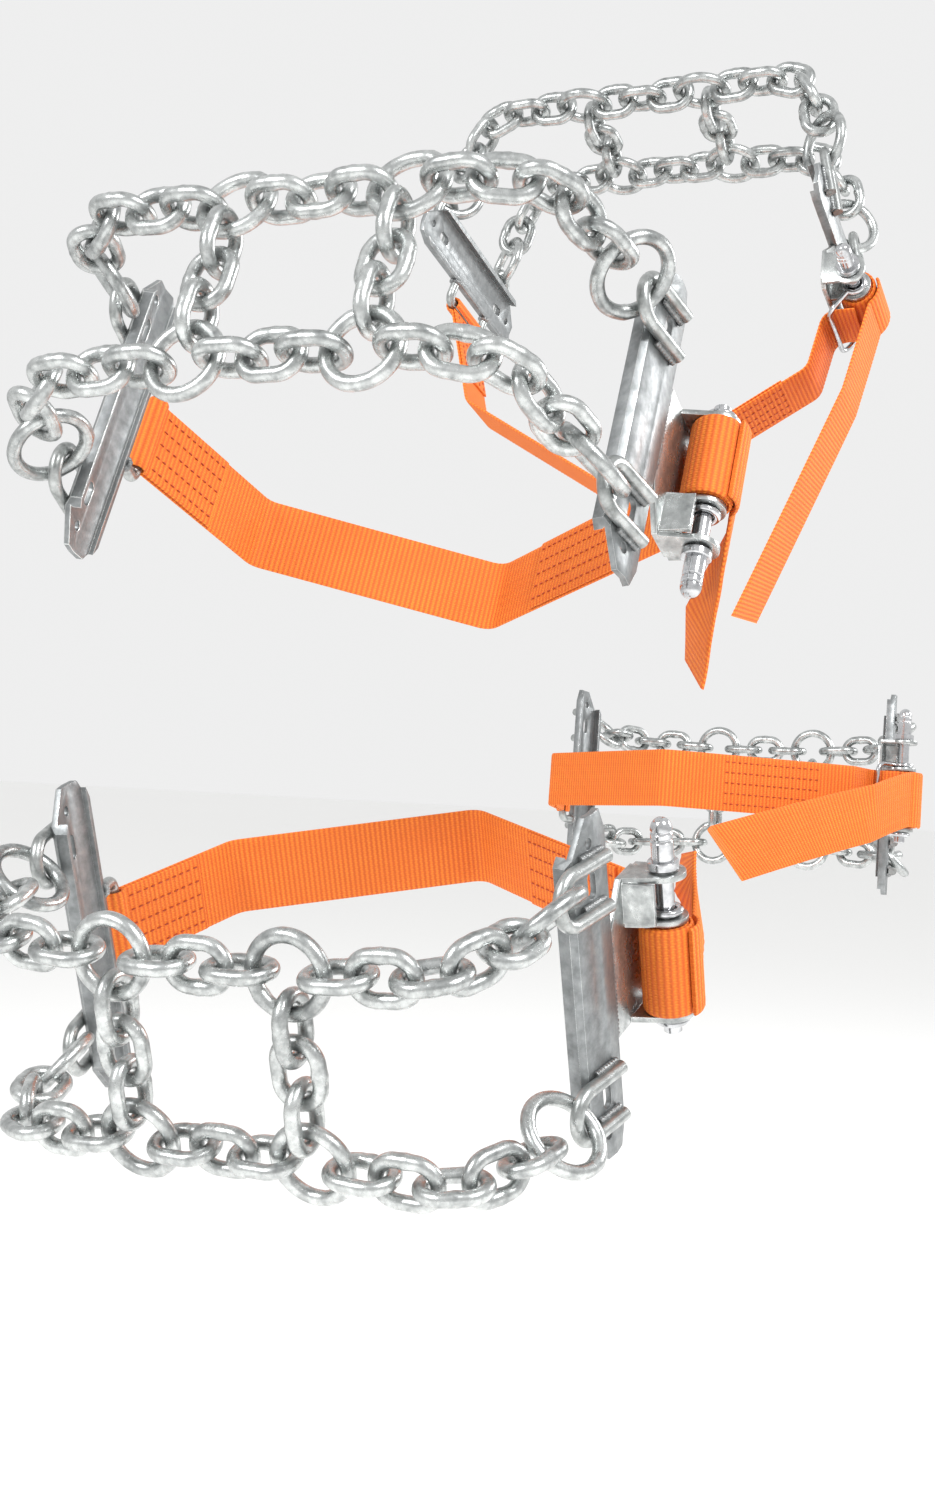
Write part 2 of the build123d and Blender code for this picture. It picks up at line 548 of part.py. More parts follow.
def make_tail(frame, bend, tip):
    """Free tail of the strap: leaves along the roll's width, drifts sideways and has a slanted end."""
    angle = radians(TAIL_ANGLE)
    off = ROLL_DIAMETER / 2 + TAIL_GAP + WEBBING_THICKNESS / 2
    root = spindle_point(frame) + frame.x_dir * off * cos(angle) + frame.z_dir * off * sin(angle)
    half = WEBBING_WIDTH / 2
    along = Vector(tip[0] - root.X, tip[2] - root.Z).normalized()
    across = Vector(along.Y, -along.X) * half
    long_corner = Vector(tip[0], tip[2]) + across
    short_corner = Vector(tip[0], tip[2]) - across - along * TAIL_POINT
    start = root.X + WEBBING_THICKNESS
    with BuildPart() as tail:
        with BuildSketch():
            with BuildLine():
                FilletPolyline(
                    (root.X, root.Y), (bend[0], -bend[1]), (tip[0], -tip[1]),
                    radius=STRAP_BEND,
                )
            trace(line_width=WEBBING_THICKNESS)
        extrude(amount=abs(tip[2]) + WEBBING_WIDTH, both=True)
        with BuildSketch(Plane(origin=(0, 0, 0), x_dir=(1, 0, 0), z_dir=(0, -1, 0))):
            with BuildLine():
                Polyline(
                    (start, root.Z - half), (short_corner.X, short_corner.Y),
                    (long_corner.X, long_corner.Y), (start, root.Z + half),
                    close=True,
                )
            make_face()
        extrude(amount=2 * BAR_LENGTH, both=True, mode=Mode.INTERSECT)
    return tail.part


def make_section(angle, shift, hand, bend, tip):
    """All nodes of one section, laid out with its middle on +X and then turned to its place."""
    outer_plane = bar_plane(-1, shift)
    inner_plane = bar_plane(1, shift)
    slide = -hand * BUCKLE_SHIFT
    frame = frame_plane(outer_plane, slide)
    head = 1 if frame.y_dir.Z * hand > 0 else -1
    loop_rod, rod_middle = make_loop_rod(inner_plane, slide)
    nodes = {
        "tread_chains": make_tread_chains(shift),
        "ladder_chains": make_ladder_chains(shift),
        "junction_rings": make_junction_rings(shift),
        "outer_side_chains": make_side_chains(-1, shift),
        "inner_side_chains": make_side_chains(1, shift),
        "outer_bar": make_bar(outer_plane, eye_spread(-1, shift)),
        "outer_eyes": make_eyes(outer_plane, eye_spread(-1, shift)),
        "inner_bar": make_bar(inner_plane, eye_spread(1, shift)),
        "inner_eyes": Compound(make_eyes(inner_plane, eye_spread(1, shift)).solids() + loop_rod.solids()),
        "buckle_frame": make_buckle_frame(frame, head),
        "spindle": make_spindle(frame, head),
        "webbing_roll": make_roll(frame),
        "lock_bail": make_bail(frame),
        "strap": make_strap(frame, rod_middle),
        "strap_tail": make_tail(frame, bend, tip),
    }
    return {node: shape.rotate(Axis.Y, -angle) for node, shape in nodes.items()}


if __name__ == "__main__":
    os.makedirs("parts", exist_ok=True)
    for section, layout in SECTIONS.items():
        nodes = make_section(**layout)
        for node, placed in nodes.items():
            placed.label = f"{section}_{node}"
            export_step(placed, f"parts/{placed.label}.step")
            print(placed.label, len(placed.solids()), round(placed.volume))
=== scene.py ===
# %% [markdown]
# # Strap-on snow chains for a truck tyre
# Four separate chain sections stand where they would lie on a tyre: a rope ladder of links over the
# tread, a pressed steel bar on each side and an orange webbing strap that pulls the two bars together.
# The CAD model is the frame. Here each piece gets its finished surface, in metres, in the same place.

import json
import math

import bmesh
import bpy
import numpy as np
from mathutils import Matrix, Vector


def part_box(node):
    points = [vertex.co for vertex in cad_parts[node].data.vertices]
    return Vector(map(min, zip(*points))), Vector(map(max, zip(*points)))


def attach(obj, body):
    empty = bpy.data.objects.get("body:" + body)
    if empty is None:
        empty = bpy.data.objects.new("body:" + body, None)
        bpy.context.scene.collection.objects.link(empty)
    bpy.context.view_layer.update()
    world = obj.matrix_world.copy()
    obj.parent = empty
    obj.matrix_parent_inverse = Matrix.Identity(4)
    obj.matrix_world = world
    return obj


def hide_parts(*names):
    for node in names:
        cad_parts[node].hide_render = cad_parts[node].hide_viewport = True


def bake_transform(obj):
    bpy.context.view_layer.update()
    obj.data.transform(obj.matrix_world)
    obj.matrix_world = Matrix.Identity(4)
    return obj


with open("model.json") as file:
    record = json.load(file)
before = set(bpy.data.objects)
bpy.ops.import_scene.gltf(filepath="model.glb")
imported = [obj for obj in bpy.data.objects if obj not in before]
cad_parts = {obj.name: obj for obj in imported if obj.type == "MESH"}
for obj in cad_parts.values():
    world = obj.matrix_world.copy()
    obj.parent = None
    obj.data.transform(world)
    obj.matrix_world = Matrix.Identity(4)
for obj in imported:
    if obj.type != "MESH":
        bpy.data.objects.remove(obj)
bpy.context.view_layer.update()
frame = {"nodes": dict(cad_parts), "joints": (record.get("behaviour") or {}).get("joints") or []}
MM = 0.001
SECTIONS = ["upper_front", "lower_front", "upper_rear", "lower_rear"]

# %% [markdown]
# The camera and the studio come first, because everything after them is judged through them. The camera
# stands on the tread side of the wheel, a little towards its outer face, and rolls by a degree or two.
# A pale floor, a bright world and three soft area lights give the even light of a product studio.

# %% Camera
CAMERA_PLACE = Vector((-1.209, -0.445, -0.030))
CAMERA_HEADING = math.radians(24.14)
CAMERA_TILT = math.radians(0.93)
CAMERA_ROLL = math.radians(2.63)
IMAGE_HEIGHT = 1500
FOCAL_PIXELS = 1672
SENSOR = 36.0

forward = Vector((
    math.cos(CAMERA_TILT) * math.cos(CAMERA_HEADING),
    math.cos(CAMERA_TILT) * math.sin(CAMERA_HEADING),
    math.sin(CAMERA_TILT),
))
level_right = forward.cross(Vector((0, 0, 1))).normalized()
level_up = level_right.cross(forward)
right = level_right * math.cos(CAMERA_ROLL) + level_up * math.sin(CAMERA_ROLL)
up = right.cross(forward)
camera_data = bpy.data.cameras.new("studio_camera")
camera_data.sensor_fit = "VERTICAL"
camera_data.sensor_height = SENSOR
camera_data.lens = SENSOR * FOCAL_PIXELS / IMAGE_HEIGHT
camera = bpy.data.objects.new("studio_camera", camera_data)
bpy.context.scene.collection.objects.link(camera)
turn = Matrix((right, up, -forward)).transposed().to_4x4()
camera.matrix_world = Matrix.Translation(CAMERA_PLACE) @ turn
bpy.context.scene.camera = camera

# %% [markdown]
# Colours are written as sRGB hex values, the way a paint chart gives them, and one function turns them
# into the linear values that Blender works in. One helper adds any node with its settings and links.

# %% Helpers for colour and nodes
def colour(hex_value):
    """sRGB hex to a linear RGBA tuple."""
    parts = [int(hex_value[i:i + 2], 16) / 255 for i in (1, 3, 5)]
    linear = [p / 12.92 if p <= 0.04045 else ((p + 0.055) / 1.055) ** 2.4 for p in parts]
    return (*linear, 1.0)


def node(tree, kind, inputs=None, **settings):
    """Adds a node: settings are its properties, inputs maps a socket to a value or to another socket."""
    made = tree.nodes.new(kind)
    for key, value in settings.items():
        setattr(made, key, value)
    for key, value in (inputs or {}).items():
        if isinstance(value, bpy.types.NodeSocket):
            tree.links.new(value, made.inputs[key])
        else:
            made.inputs[key].default_value = value
    return made


def calc(tree, operation, *values):
    """The value that a Math node gives for numbers or sockets."""
    return node(tree, "ShaderNodeMath", dict(enumerate(values)), operation=operation).outputs["Value"]


def between(tree, factor, low, high):
    """The colour between two others that a factor from 0 to 1 picks."""
    return node(tree, "ShaderNodeMix", {0: factor, 6: low, 7: high}, data_type="RGBA").outputs[2]


def noise(tree, place, size, detail=2.0, rough=0.5):
    """Noise from 0 to 1 whose patches are about as large as the size."""
    return node(tree, "ShaderNodeTexNoise", {
        "Vector": place, "Scale": 1 / size, "Detail": detail, "Roughness": rough}).outputs["Fac"]


def new_material(name):
    """An empty material with a Principled shader and its output; returns material, tree and shader."""
    material = bpy.data.materials.new(name)
    material.use_nodes = True
    tree = material.node_tree
    tree.nodes.clear()
    shader = node(tree, "ShaderNodeBsdfPrincipled")
    node(tree, "ShaderNodeOutputMaterial", {"Surface": shader.outputs["BSDF"]})
    return material, tree, shader


# %% Studio floor, world and lights
FLOOR_LEVEL = -0.62      # a little below the tyre's lowest point
FLOOR_HALF = 30.0
floor_material, floor_tree, floor_shader = new_material("matt_studio_floor")
floor_noise = node(floor_tree, "ShaderNodeTexNoise", {"Scale": 6.0, "Detail": 3.0})
floor_mix = between(floor_tree, floor_noise.outputs["Fac"], colour("#F9F9F8"), colour("#FDFDFC"))
floor_tree.links.new(floor_mix, floor_shader.inputs["Base Color"])
floor_shader.inputs["Roughness"].default_value = 0.9
floor_mesh = bpy.data.meshes.new("studio_floor")
corners = [(x * FLOOR_HALF, y * FLOOR_HALF, FLOOR_LEVEL) for x, y in ((-1, -1), (1, -1), (1, 1), (-1, 1))]
floor_mesh.from_pydata(corners, [], [(0, 1, 2, 3)])
floor_mesh.materials.append(floor_material)
floor = bpy.data.objects.new("studio_floor", floor_mesh)
bpy.context.scene.collection.objects.link(floor)

world = bpy.data.worlds.new("studio_world")
bpy.context.scene.world = world
world.use_nodes = True
world.node_tree.nodes["Background"].inputs["Color"].default_value = colour("#FFFFFF")
world.node_tree.nodes["Background"].inputs["Strength"].default_value = 0.86
bpy.context.scene.view_settings.view_transform = "Standard"    # keeps the orange as strong as it is dyed


def area_light(name, place, target, size, power, tint="#FFFFFF"):
    """A square soft light at a place, facing a target."""
    data = bpy.data.lights.new(name, "AREA")
    data.shape = "SQUARE"
    data.size = size
    data.energy = power
    data.color = colour(tint)[:3]
    light = bpy.data.objects.new(name, data)
    bpy.context.scene.collection.objects.link(light)
    light.location = place
    light.rotation_euler = (Vector(target) - Vector(place)).to_track_quat("-Z", "Y").to_euler()
    return light


area_light("key_light", (-1.3, -1.9, 1.9), (0, -0.1, 0), 0.6, 66)
area_light("front_light", (-2.4, 0.9, 1.4), (-0.3, 0, 0), 0.5, 40)
area_light("rim_light", (1.6, -1.6, 0.9), (0, 0, 0), 0.8, 22)

# %% [markdown]
# Each section was laid out once and turned about the axle, so it has its own three directions: radial,
# inboard and along the tread. They are read back from the hinge on which its outer bar swings.

# %% Directions and places of each section
joints = {joint["name"]: joint for joint in frame["joints"]}


def section_axes(section):
    """Matrix that turns (radial, inboard, along the tread) into the row frame."""
    tread = Vector(joints[section + "_bar_swing"]["axis"])
    radial = Vector((tread.z, 0, -tread.x))
    return Matrix((radial, Vector((0, 1, 0)), tread)).transposed()


AXES = {section: section_axes(section) for section in SECTIONS}


def local(section, point):
    """A row-frame point in a section's own directions."""
    return AXES[section].transposed() @ Vector(point)


def joint_place(section, joint):
    """Where a section's joint is, in the section's own directions."""
    return local(section, joints[f"{section}_{joint}"]["pos_m"])


def points_of(name, section):
    """Vertices of a CAD node in its section's own directions, as an array."""
    mesh = frame["nodes"][name].data
    flat = np.empty(len(mesh.vertices) * 3)
    mesh.vertices.foreach_get("co", flat)
    return flat.reshape(-1, 3) @ np.array(AXES[section])


def new_object(name, mesh):
    """A linked object at the origin for a mesh."""
    made = bpy.data.objects.new(name, mesh)
    bpy.context.scene.collection.objects.link(made)
    return made


def smooth(piece, angle=40):
    """Smooth shading with edges sharper than the angle kept."""
    mesh = piece.data
    mesh.shade_smooth()
    mesh.set_sharp_from_angle(angle=math.radians(angle))
    return piece

# %% [markdown]
# ## Finishes
# Seven metals. Chain links are case-hardened and bright zinc plated: a mid-grey metal with a clear gloss,
# slightly mottled, a little duller from link to link. The pressed bars are dipped in zinc, which freezes
# into a dull grey skin. Their bevelled edges get a lighter zinc, a painted highlight where the edges catch
# the light. The spindle and bail are plated bright.

# %% Metals
MOTTLE = 7 * MM          # patches in a zinc skin
GRIT = 0.5 * MM          # fine grain of a plated surface
ZINC_RELIEF = 0.25 * MM
NOISE_LOW, NOISE_HIGH = 0.3, 0.7     # a noise texture seldom leaves this range


def zinc(name, dark, light, metallic, rough, bump):
    """Zinc skin: mottled between two greys, with its gloss and fine grain following the mottle."""
    material, tree, shader = new_material(name)
    place = node(tree, "ShaderNodeTexCoord").outputs["Object"]
    mottle = noise(tree, place, MOTTLE, 6.0, 0.62)
    tone = node(tree, "ShaderNodeAttribute", attribute_name="tone")
    mixed = calc(tree, "ADD", mottle, tone.outputs["Fac"])
    factor = node(tree, "ShaderNodeMapRange", {"Value": mixed, "From Min": NOISE_LOW, "From Max": 0.72})
    skin = between(tree, factor.outputs["Result"], colour(dark), colour(light))
    gloss = node(tree, "ShaderNodeMapRange", {
        "Value": mottle, "From Min": NOISE_LOW, "From Max": NOISE_HIGH,
        "To Min": rough + 0.1, "To Max": rough - 0.06})
    grit = noise(tree, place, GRIT, 3.0, 0.6)
    height = calc(tree, "MULTIPLY_ADD", mottle, 1.6, grit)
    relief = node(tree, "ShaderNodeBump", {
        "Height": height, "Strength": bump, "Distance": ZINC_RELIEF})
    tree.links.new(skin, shader.inputs["Base Color"])
    tree.links.new(gloss.outputs["Result"], shader.inputs["Roughness"])
    tree.links.new(relief.outputs["Normal"], shader.inputs["Normal"])
    shader.inputs["Metallic"].default_value = metallic
    return material


plated_chain = zinc("bright_zinc_plated_chain", "#838686", "#D3D6D5", 0.94, 0.26, 0.3)
dipped_plate = zinc("hot_dip_galvanised_plate", "#76797A", "#999C9D", 0.85, 0.42, 0.35)
pressed_plate = zinc("zinc_plated_pressing", "#8A8D8D", "#C9CCCB", 0.92, 0.28, 0.25)
# lighter zinc for the bevelled edges of bars and frames: a painted highlight where the edges catch the light
edge_highlight_zinc = zinc("zinc_edge_painted_highlight", "#B0B3B2", "#E3E5E4", 0.92, 0.24, 0.15)
plated_rod = zinc("zinc_plated_rod", "#7F8281", "#C6C9C8", 0.92, 0.3, 0.35)
weld_metal = zinc("zinc_over_weld_metal", "#6A6C6D", "#A6A8A8", 0.85, 0.38, 0.8)
bright_plate = zinc("bright_nickel_plate", "#A3A4A6", "#D9DADC", 0.97, 0.14, 0.1)
print("metals:", [m.name for m in bpy.data.materials])

# %% [markdown]
# ## Webbing
# The straps are woven polyester, 50 mm wide: cords run along the strap and a rib crosses it every few
# millimetres. The ribs are real geometry, and the fine cords are bump that follows the strap's own UV
# map, which is laid out in metres so that a pattern's size is a real size.

# %% Webbing material
CORD_PITCH = 1.6 * MM    # lengthwise cords across the width, a little coarser than real so that they show
RIB_PITCH = 3.3 * MM     # ribs across the strap
FIBRE = 0.35 * MM        # fuzz on the yarn
DYE_PATCH = 35 * MM      # size of the uneven patches of the dye
RIB_CURL = 1.2           # how far a rib's phase moves from cord to cord, in radians


def wave(tree, coordinate, pitch):
    """A sine of a coordinate in metres with the given pitch, from 0 to 1."""
    angle = calc(tree, "MULTIPLY", coordinate, 2 * math.pi / pitch)
    return calc(tree, "MULTIPLY_ADD", calc(tree, "SINE", angle), 0.5, 0.5)


def woven(name, light, valley_shade_colour, stain):
    """Woven polyester webbing: cords along it, ribs across it, darker orange in the weave's valleys as
    painted shade, a fibre fuzz and a slightly uneven dye.
    """
    material, tree, shader = new_material(name)
    uv = node(tree, "ShaderNodeUVMap", uv_map="cloth")
    split = node(tree, "ShaderNodeSeparateXYZ", {"Vector": uv.outputs["UV"]})
    across, along = split.outputs["X"], split.outputs["Y"]
    cords = wave(tree, across, CORD_PITCH)
    ribs = wave(tree, along, RIB_PITCH)
    half_step = calc(tree, "MULTIPLY", across, math.pi / CORD_PITCH)
    flip = calc(tree, "SINE", half_step)
    offset = calc(tree, "MULTIPLY", flip, RIB_CURL)
    rib_angle = calc(tree, "MULTIPLY_ADD", along, 2 * math.pi / RIB_PITCH, offset)
    twill = calc(tree, "MULTIPLY_ADD", calc(tree, "SINE", rib_angle), 0.5, 0.5)
    weave = calc(tree, "MULTIPLY", cords, twill)
    fibre = noise(tree, uv.outputs["UV"], FIBRE, 2.0, 0.6)
    dye = noise(tree, uv.outputs["UV"], DYE_PATCH, 4.0, 0.6)
    # the weave's valleys are coloured towards the darker orange: painted shade in the hollows between cords
    # and ribs
    shade = calc(tree, "MULTIPLY_ADD", weave, 0.62, ribs)
    shade_range = node(tree, "ShaderNodeMapRange", {
        "Value": shade, "From Min": 0.0, "From Max": 1.4, "To Min": 0.12, "To Max": 1.0})
    base = between(tree, shade_range.outputs["Result"], colour(valley_shade_colour), colour(light))
    stain_range = node(tree, "ShaderNodeMapRange", {
        "Value": dye, "From Min": 0.42, "From Max": 0.75, "To Min": 0.0, "To Max": 0.4})
    dyed = between(tree, stain_range.outputs["Result"], base, colour(stain))
    fuzz = calc(tree, "MULTIPLY_ADD", fibre, 0.35, weave)
    relief = node(tree, "ShaderNodeBump", {
        "Height": fuzz, "Strength": 0.7, "Distance": FIBRE})
    tree.links.new(dyed, shader.inputs["Base Color"])
    tree.links.new(relief.outputs["Normal"], shader.inputs["Normal"])
    shader.inputs["Roughness"].default_value = 0.72
    shader.inputs["Sheen Weight"].default_value = 0.15
    shader.inputs["Sheen Roughness"].default_value = 0.4
    shader.inputs["Sheen Tint"].default_value = colour("#FFB070")
    return material


webbing_cloth = woven("orange_polyester_webbing", "#E98020", "#C24A0C", "#CE5A12")
TWIST = 0.8 * MM         # twist of the sewing thread


def thread(name, hex_light, hex_dark):
    """Bonded sewing thread: a slightly glossy twisted yarn."""
    material, tree, shader = new_material(name)
    place = node(tree, "ShaderNodeTexCoord")
    twist = noise(tree, place.outputs["Object"], TWIST)
    yarn = between(tree, twist, colour(hex_dark), colour(hex_light))
    tree.links.new(yarn, shader.inputs["Base Color"])
    shader.inputs["Roughness"].default_value = 0.55
    return material


stitch_thread = thread("bonded_polyester_thread", "#B8440E", "#8A2806")

# %% [markdown]
# ## Chain links
# A chain is one link, repeated. The CAD frame says where each link lies, so the script reads the place,
# direction and roll of every link from its solid. A Geometry Nodes tree then makes one link, with round
# bows, straight sides and the swelling of its butt weld, and sets it on each of those places.

# %% Read the links' places from the frame
WELD = 0.02 * MM         # triangle corners nearer than this are one vertex


def islands(name):
    """The separate solids of a CAD node, each as an array of its vertices, in node order."""
    mesh = bmesh.new()
    mesh.from_mesh(frame["nodes"][name].data)
    bmesh.ops.remove_doubles(mesh, verts=mesh.verts, dist=WELD)
    mesh.verts.ensure_lookup_table()
    seen, found = set(), []
    for start in mesh.verts:
        if start.index in seen:
            continue
        stack, group = [start], []
        seen.add(start.index)
        while stack:
            vertex = stack.pop()
            group.append(vertex.co[:])
            for edge in vertex.link_edges:
                other = edge.other_vert(vertex)
                if other.index not in seen:
                    seen.add(other.index)
                    stack.append(other)
        found.append(np.array(group))
    mesh.free()
    return found


def place_of(points):
    """Middle, turn and the three sizes of a solid: X along its length, Z out of its flat side."""
    middle = points.mean(axis=0)
    _, _, axes = np.linalg.svd(points - middle, full_matrices=False)
    axes[2] = np.cross(axes[0], axes[1])
    spans = (points - middle) @ axes.T
    middle = middle + ((spans.max(axis=0) + spans.min(axis=0)) / 2) @ axes
    turn = Matrix(axes.tolist()).transposed().to_quaternion()
    return Vector(middle), turn, spans.max(axis=0) - spans.min(axis=0)


# %% The link tree
LINK_WIRE = 8.0 * MM
WELD_SWELL = 0.10        # how much thicker the wire is at its weld
WELD_LENGTH = 2.2 * MM
DENT = 0.12 * MM         # small unevenness of a formed and barrelled link
DENT_WIDTH = 5 * MM
TONE_RANGE = 0.07        # how far one link's zinc may be lighter or darker than the next
ALMOST_HALF = 0.4999     # a bow's radius as a share of the width, just short of closing the straight
BOW_STEPS, LINK_STEPS, WIRE_SIDES = 12, 56, 16


def group_input(tree, name, kind, value):
    """Adds a named input to a geometry tree."""
    made = tree.interface.new_socket(name=name, in_out="INPUT", socket_type=kind)
    made.default_value = value
    return made


def finish_tree(tree, mesh_socket, material):
    """Ends a geometry tree in Realize Instances, Set Shade Smooth and Set Material."""
    real = node(tree, "GeometryNodeRealizeInstances", {"Geometry": mesh_socket})
    shaded = node(tree, "GeometryNodeSetShadeSmooth", {"Geometry": real.outputs["Geometry"]})
    painted = node(tree, "GeometryNodeSetMaterial", {
        "Geometry": shaded.outputs["Geometry"], "Material": material})
    node(tree, "NodeGroupOutput", {"Geometry": painted.outputs["Geometry"]})


def geometry_tree(name):
    """An empty geometry tree with one geometry going in and one coming out."""
    tree = bpy.data.node_groups.new(name, "GeometryNodeTree")
    tree.interface.new_socket(name="Geometry", in_out="INPUT", socket_type="NodeSocketGeometry")
    tree.interface.new_socket(name="Geometry", in_out="OUTPUT", socket_type="NodeSocketGeometry")
    return tree


def link_tree():
    """A wire link on each point, turned by the point's "turn"; equal width and length give a ring."""
    tree = geometry_tree("wire_link")
    group_input(tree, "Length", "NodeSocketFloat", 0.04)
    group_input(tree, "Width", "NodeSocketFloat", 0.03)
    group_input(tree, "Seed", "NodeSocketInt", 1)
    given = node(tree, "NodeGroupInput")
    mid_length = calc(tree, "SUBTRACT", given.outputs["Length"], LINK_WIRE)
    mid_width = calc(tree, "SUBTRACT", given.outputs["Width"], LINK_WIRE)
    bow = calc(tree, "MULTIPLY", mid_width, ALMOST_HALF)
    outline = node(tree, "GeometryNodeCurvePrimitiveQuadrilateral", {
        "Width": mid_length, "Height": mid_width})
    rounded = node(tree, "GeometryNodeFilletCurve", {
        "Curve": outline.outputs["Curve"], "Radius": bow, "Count": BOW_STEPS}, mode="POLY")
    even = node(tree, "GeometryNodeResampleCurve", {"Curve": rounded.outputs["Curve"], "Count": LINK_STEPS})
    place = node(tree, "GeometryNodeInputPosition")
    split = node(tree, "ShaderNodeSeparateXYZ", {"Vector": place.outputs["Position"]})
    near = calc(tree, "DIVIDE", split.outputs["X"], WELD_LENGTH)
    square = calc(tree, "MULTIPLY", near, near)
    fall = calc(tree, "POWER", 2.718, square)
    bump = calc(tree, "DIVIDE", WELD_SWELL, fall)
    on_side = calc(tree, "GREATER_THAN", split.outputs["Y"], 0.0)
    swell = calc(tree, "MULTIPLY_ADD", bump, on_side, 1.0)
    section = node(tree, "GeometryNodeCurvePrimitiveCircle", {
        "Resolution": WIRE_SIDES, "Radius": LINK_WIRE / 2})
    tube = node(tree, "GeometryNodeCurveToMesh", {
        "Curve": even.outputs["Curve"], "Profile Curve": section.outputs["Curve"],
        "Scale": swell})
    turned = node(tree, "GeometryNodeInputNamedAttribute", {"Name": "turn"}, data_type="QUATERNION")
    set_out = node(tree, "GeometryNodeInstanceOnPoints", {
        "Points": given.outputs["Geometry"], "Instance": tube.outputs["Mesh"],
        "Rotation": turned.outputs["Attribute"]})
    chance = node(tree, "FunctionNodeRandomValue", {
        2: -TONE_RANGE, 3: TONE_RANGE, "Seed": given.outputs["Seed"]}, data_type="FLOAT")
    toned = node(tree, "GeometryNodeStoreNamedAttribute", {
        "Geometry": set_out.outputs["Instances"], "Name": "tone", "Value": chance.outputs[1]},
        data_type="FLOAT", domain="INSTANCE")
    real = node(tree, "GeometryNodeRealizeInstances", {"Geometry": toned.outputs["Geometry"]})
    where = node(tree, "GeometryNodeInputPosition")
    centred = calc(tree, "SUBTRACT", noise(tree, where.outputs["Position"], DENT_WIDTH), 0.5)
    depth = calc(tree, "MULTIPLY", centred, 2 * DENT)
    outwards = node(tree, "GeometryNodeInputNormal")
    push = node(tree, "ShaderNodeVectorMath", {
        0: outwards.outputs["Normal"], "Scale": depth}, operation="SCALE")
    dented = node(tree, "GeometryNodeSetPosition", {
        "Geometry": real.outputs["Geometry"], "Offset": push.outputs["Vector"]})
    finish_tree(tree, dented.outputs["Geometry"], plated_chain)
    return tree


def run_tree(name, source, tree, values=()):
    """Applies a geometry tree with the given inputs and returns the result as a plain mesh object."""
    holder = new_object(name + "_points", source)
    modifier = holder.modifiers.new("nodes", "NODES")
    modifier.node_group = tree
    for item in tree.interface.items_tree:
        if item.item_type == "SOCKET" and item.in_out == "INPUT" and item.name in values:
            modifier[item.identifier] = values[item.name]
    bpy.context.view_layer.update()
    evaluated = holder.evaluated_get(bpy.context.evaluated_depsgraph_get())
    made = bpy.data.meshes.new_from_object(evaluated)
    made.name = name
    bpy.data.objects.remove(holder)
    return new_object(name, made)


def link_points(name, places):
    """A mesh of points that carry the turn of each link."""
    mesh = bpy.data.meshes.new(name)
    mesh.from_pydata([place[0] for place in places], [], [])
    turns = mesh.attributes.new("turn", "QUATERNION", "POINT")
    turns.data.foreach_set("value", [value for place in places for value in place[1]])
    return mesh


wire_link = link_tree()

# %% Make every chain
CHAINS = ["tread_chains", "ladder_chains", "junction_rings", "outer_side_chains", "inner_side_chains"]
link_count = 0
SEEDS_APART = 11
for order, section in enumerate(SECTIONS):
    for chain in CHAINS:
        cad_name = f"{section}_{chain}"
        by_size = {}
        for solid in islands(cad_name):
            middle, turned, sizes = place_of(solid)
            key = (round(sizes[0], 4), round(sizes[1], 4))
            by_size.setdefault(key, []).append((middle, turned))
        parts = []
        for number, (size, places) in enumerate(sorted(by_size.items())):
            seed = SEEDS_APART * order + number
            parts.append(run_tree(f"{cad_name}_links_{number}", link_points("places", places), wire_link, {
                "Length": size[0], "Width": size[1], "Seed": seed}))
            link_count += len(places)
        for part in parts:
            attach(part, "root")
        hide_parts(cad_name)
print("links and rings:", link_count)

# %% [markdown]
# ## Pressed, turned and bent steel
# The bars and buckle frames are pressed from plate, so their edges are slightly rounded by the press and
# by the zinc. Each CAD solid already has the right shape. A merged copy of it gets a small bevel on its
# sharp edges, because a real edge catches the light, and smooth shading everywhere else. The bevel's faces
# take a lighter zinc, a painted highlight along each edge.

# %% Finish the steel pieces
MERGE = 0.01 * MM
FLAT = math.radians(0.6)
BAR_EDGE = 0.9 * MM      # edges of a thick bar, rounded by the press; their lighter zinc is a painted highlight
FRAME_EDGE = 0.7 * MM
SHARP = math.radians(28)


def finished_copy(cad_name, material, round_edge, body):
    """Merged copy of a CAD node with rounded edges, which replaces the node."""
    work = bmesh.new()
    work.from_mesh(frame["nodes"][cad_name].data)
    bmesh.ops.remove_doubles(work, verts=work.verts, dist=MERGE)
    bmesh.ops.dissolve_limit(work, angle_limit=FLAT, verts=work.verts, edges=work.edges)
    mesh = bpy.data.meshes.new(cad_name + "_finished")
    work.to_mesh(mesh)
    work.free()
    mesh.materials.clear()
    mesh.materials.append(material)
    mesh.materials.append(edge_highlight_zinc)
    piece = new_object(cad_name + "_finished", mesh)
    if round_edge:
        bevel = piece.modifiers.new("edge", "BEVEL")
        bevel.width = round_edge
        bevel.segments = 2
        bevel.limit_method = "ANGLE"
        bevel.angle_limit = SHARP
        # the bevel's faces take the lighter zinc in slot 1, a painted highlight along each sharp edge
        bevel.material = 1
        bpy.context.view_layer.update()
        evaluated = piece.evaluated_get(bpy.context.evaluated_depsgraph_get())
        piece.modifiers.clear()
        piece.data = bpy.data.meshes.new_from_object(evaluated)
    smooth(piece, 32)
    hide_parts(cad_name)
    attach(piece, body)
    return piece


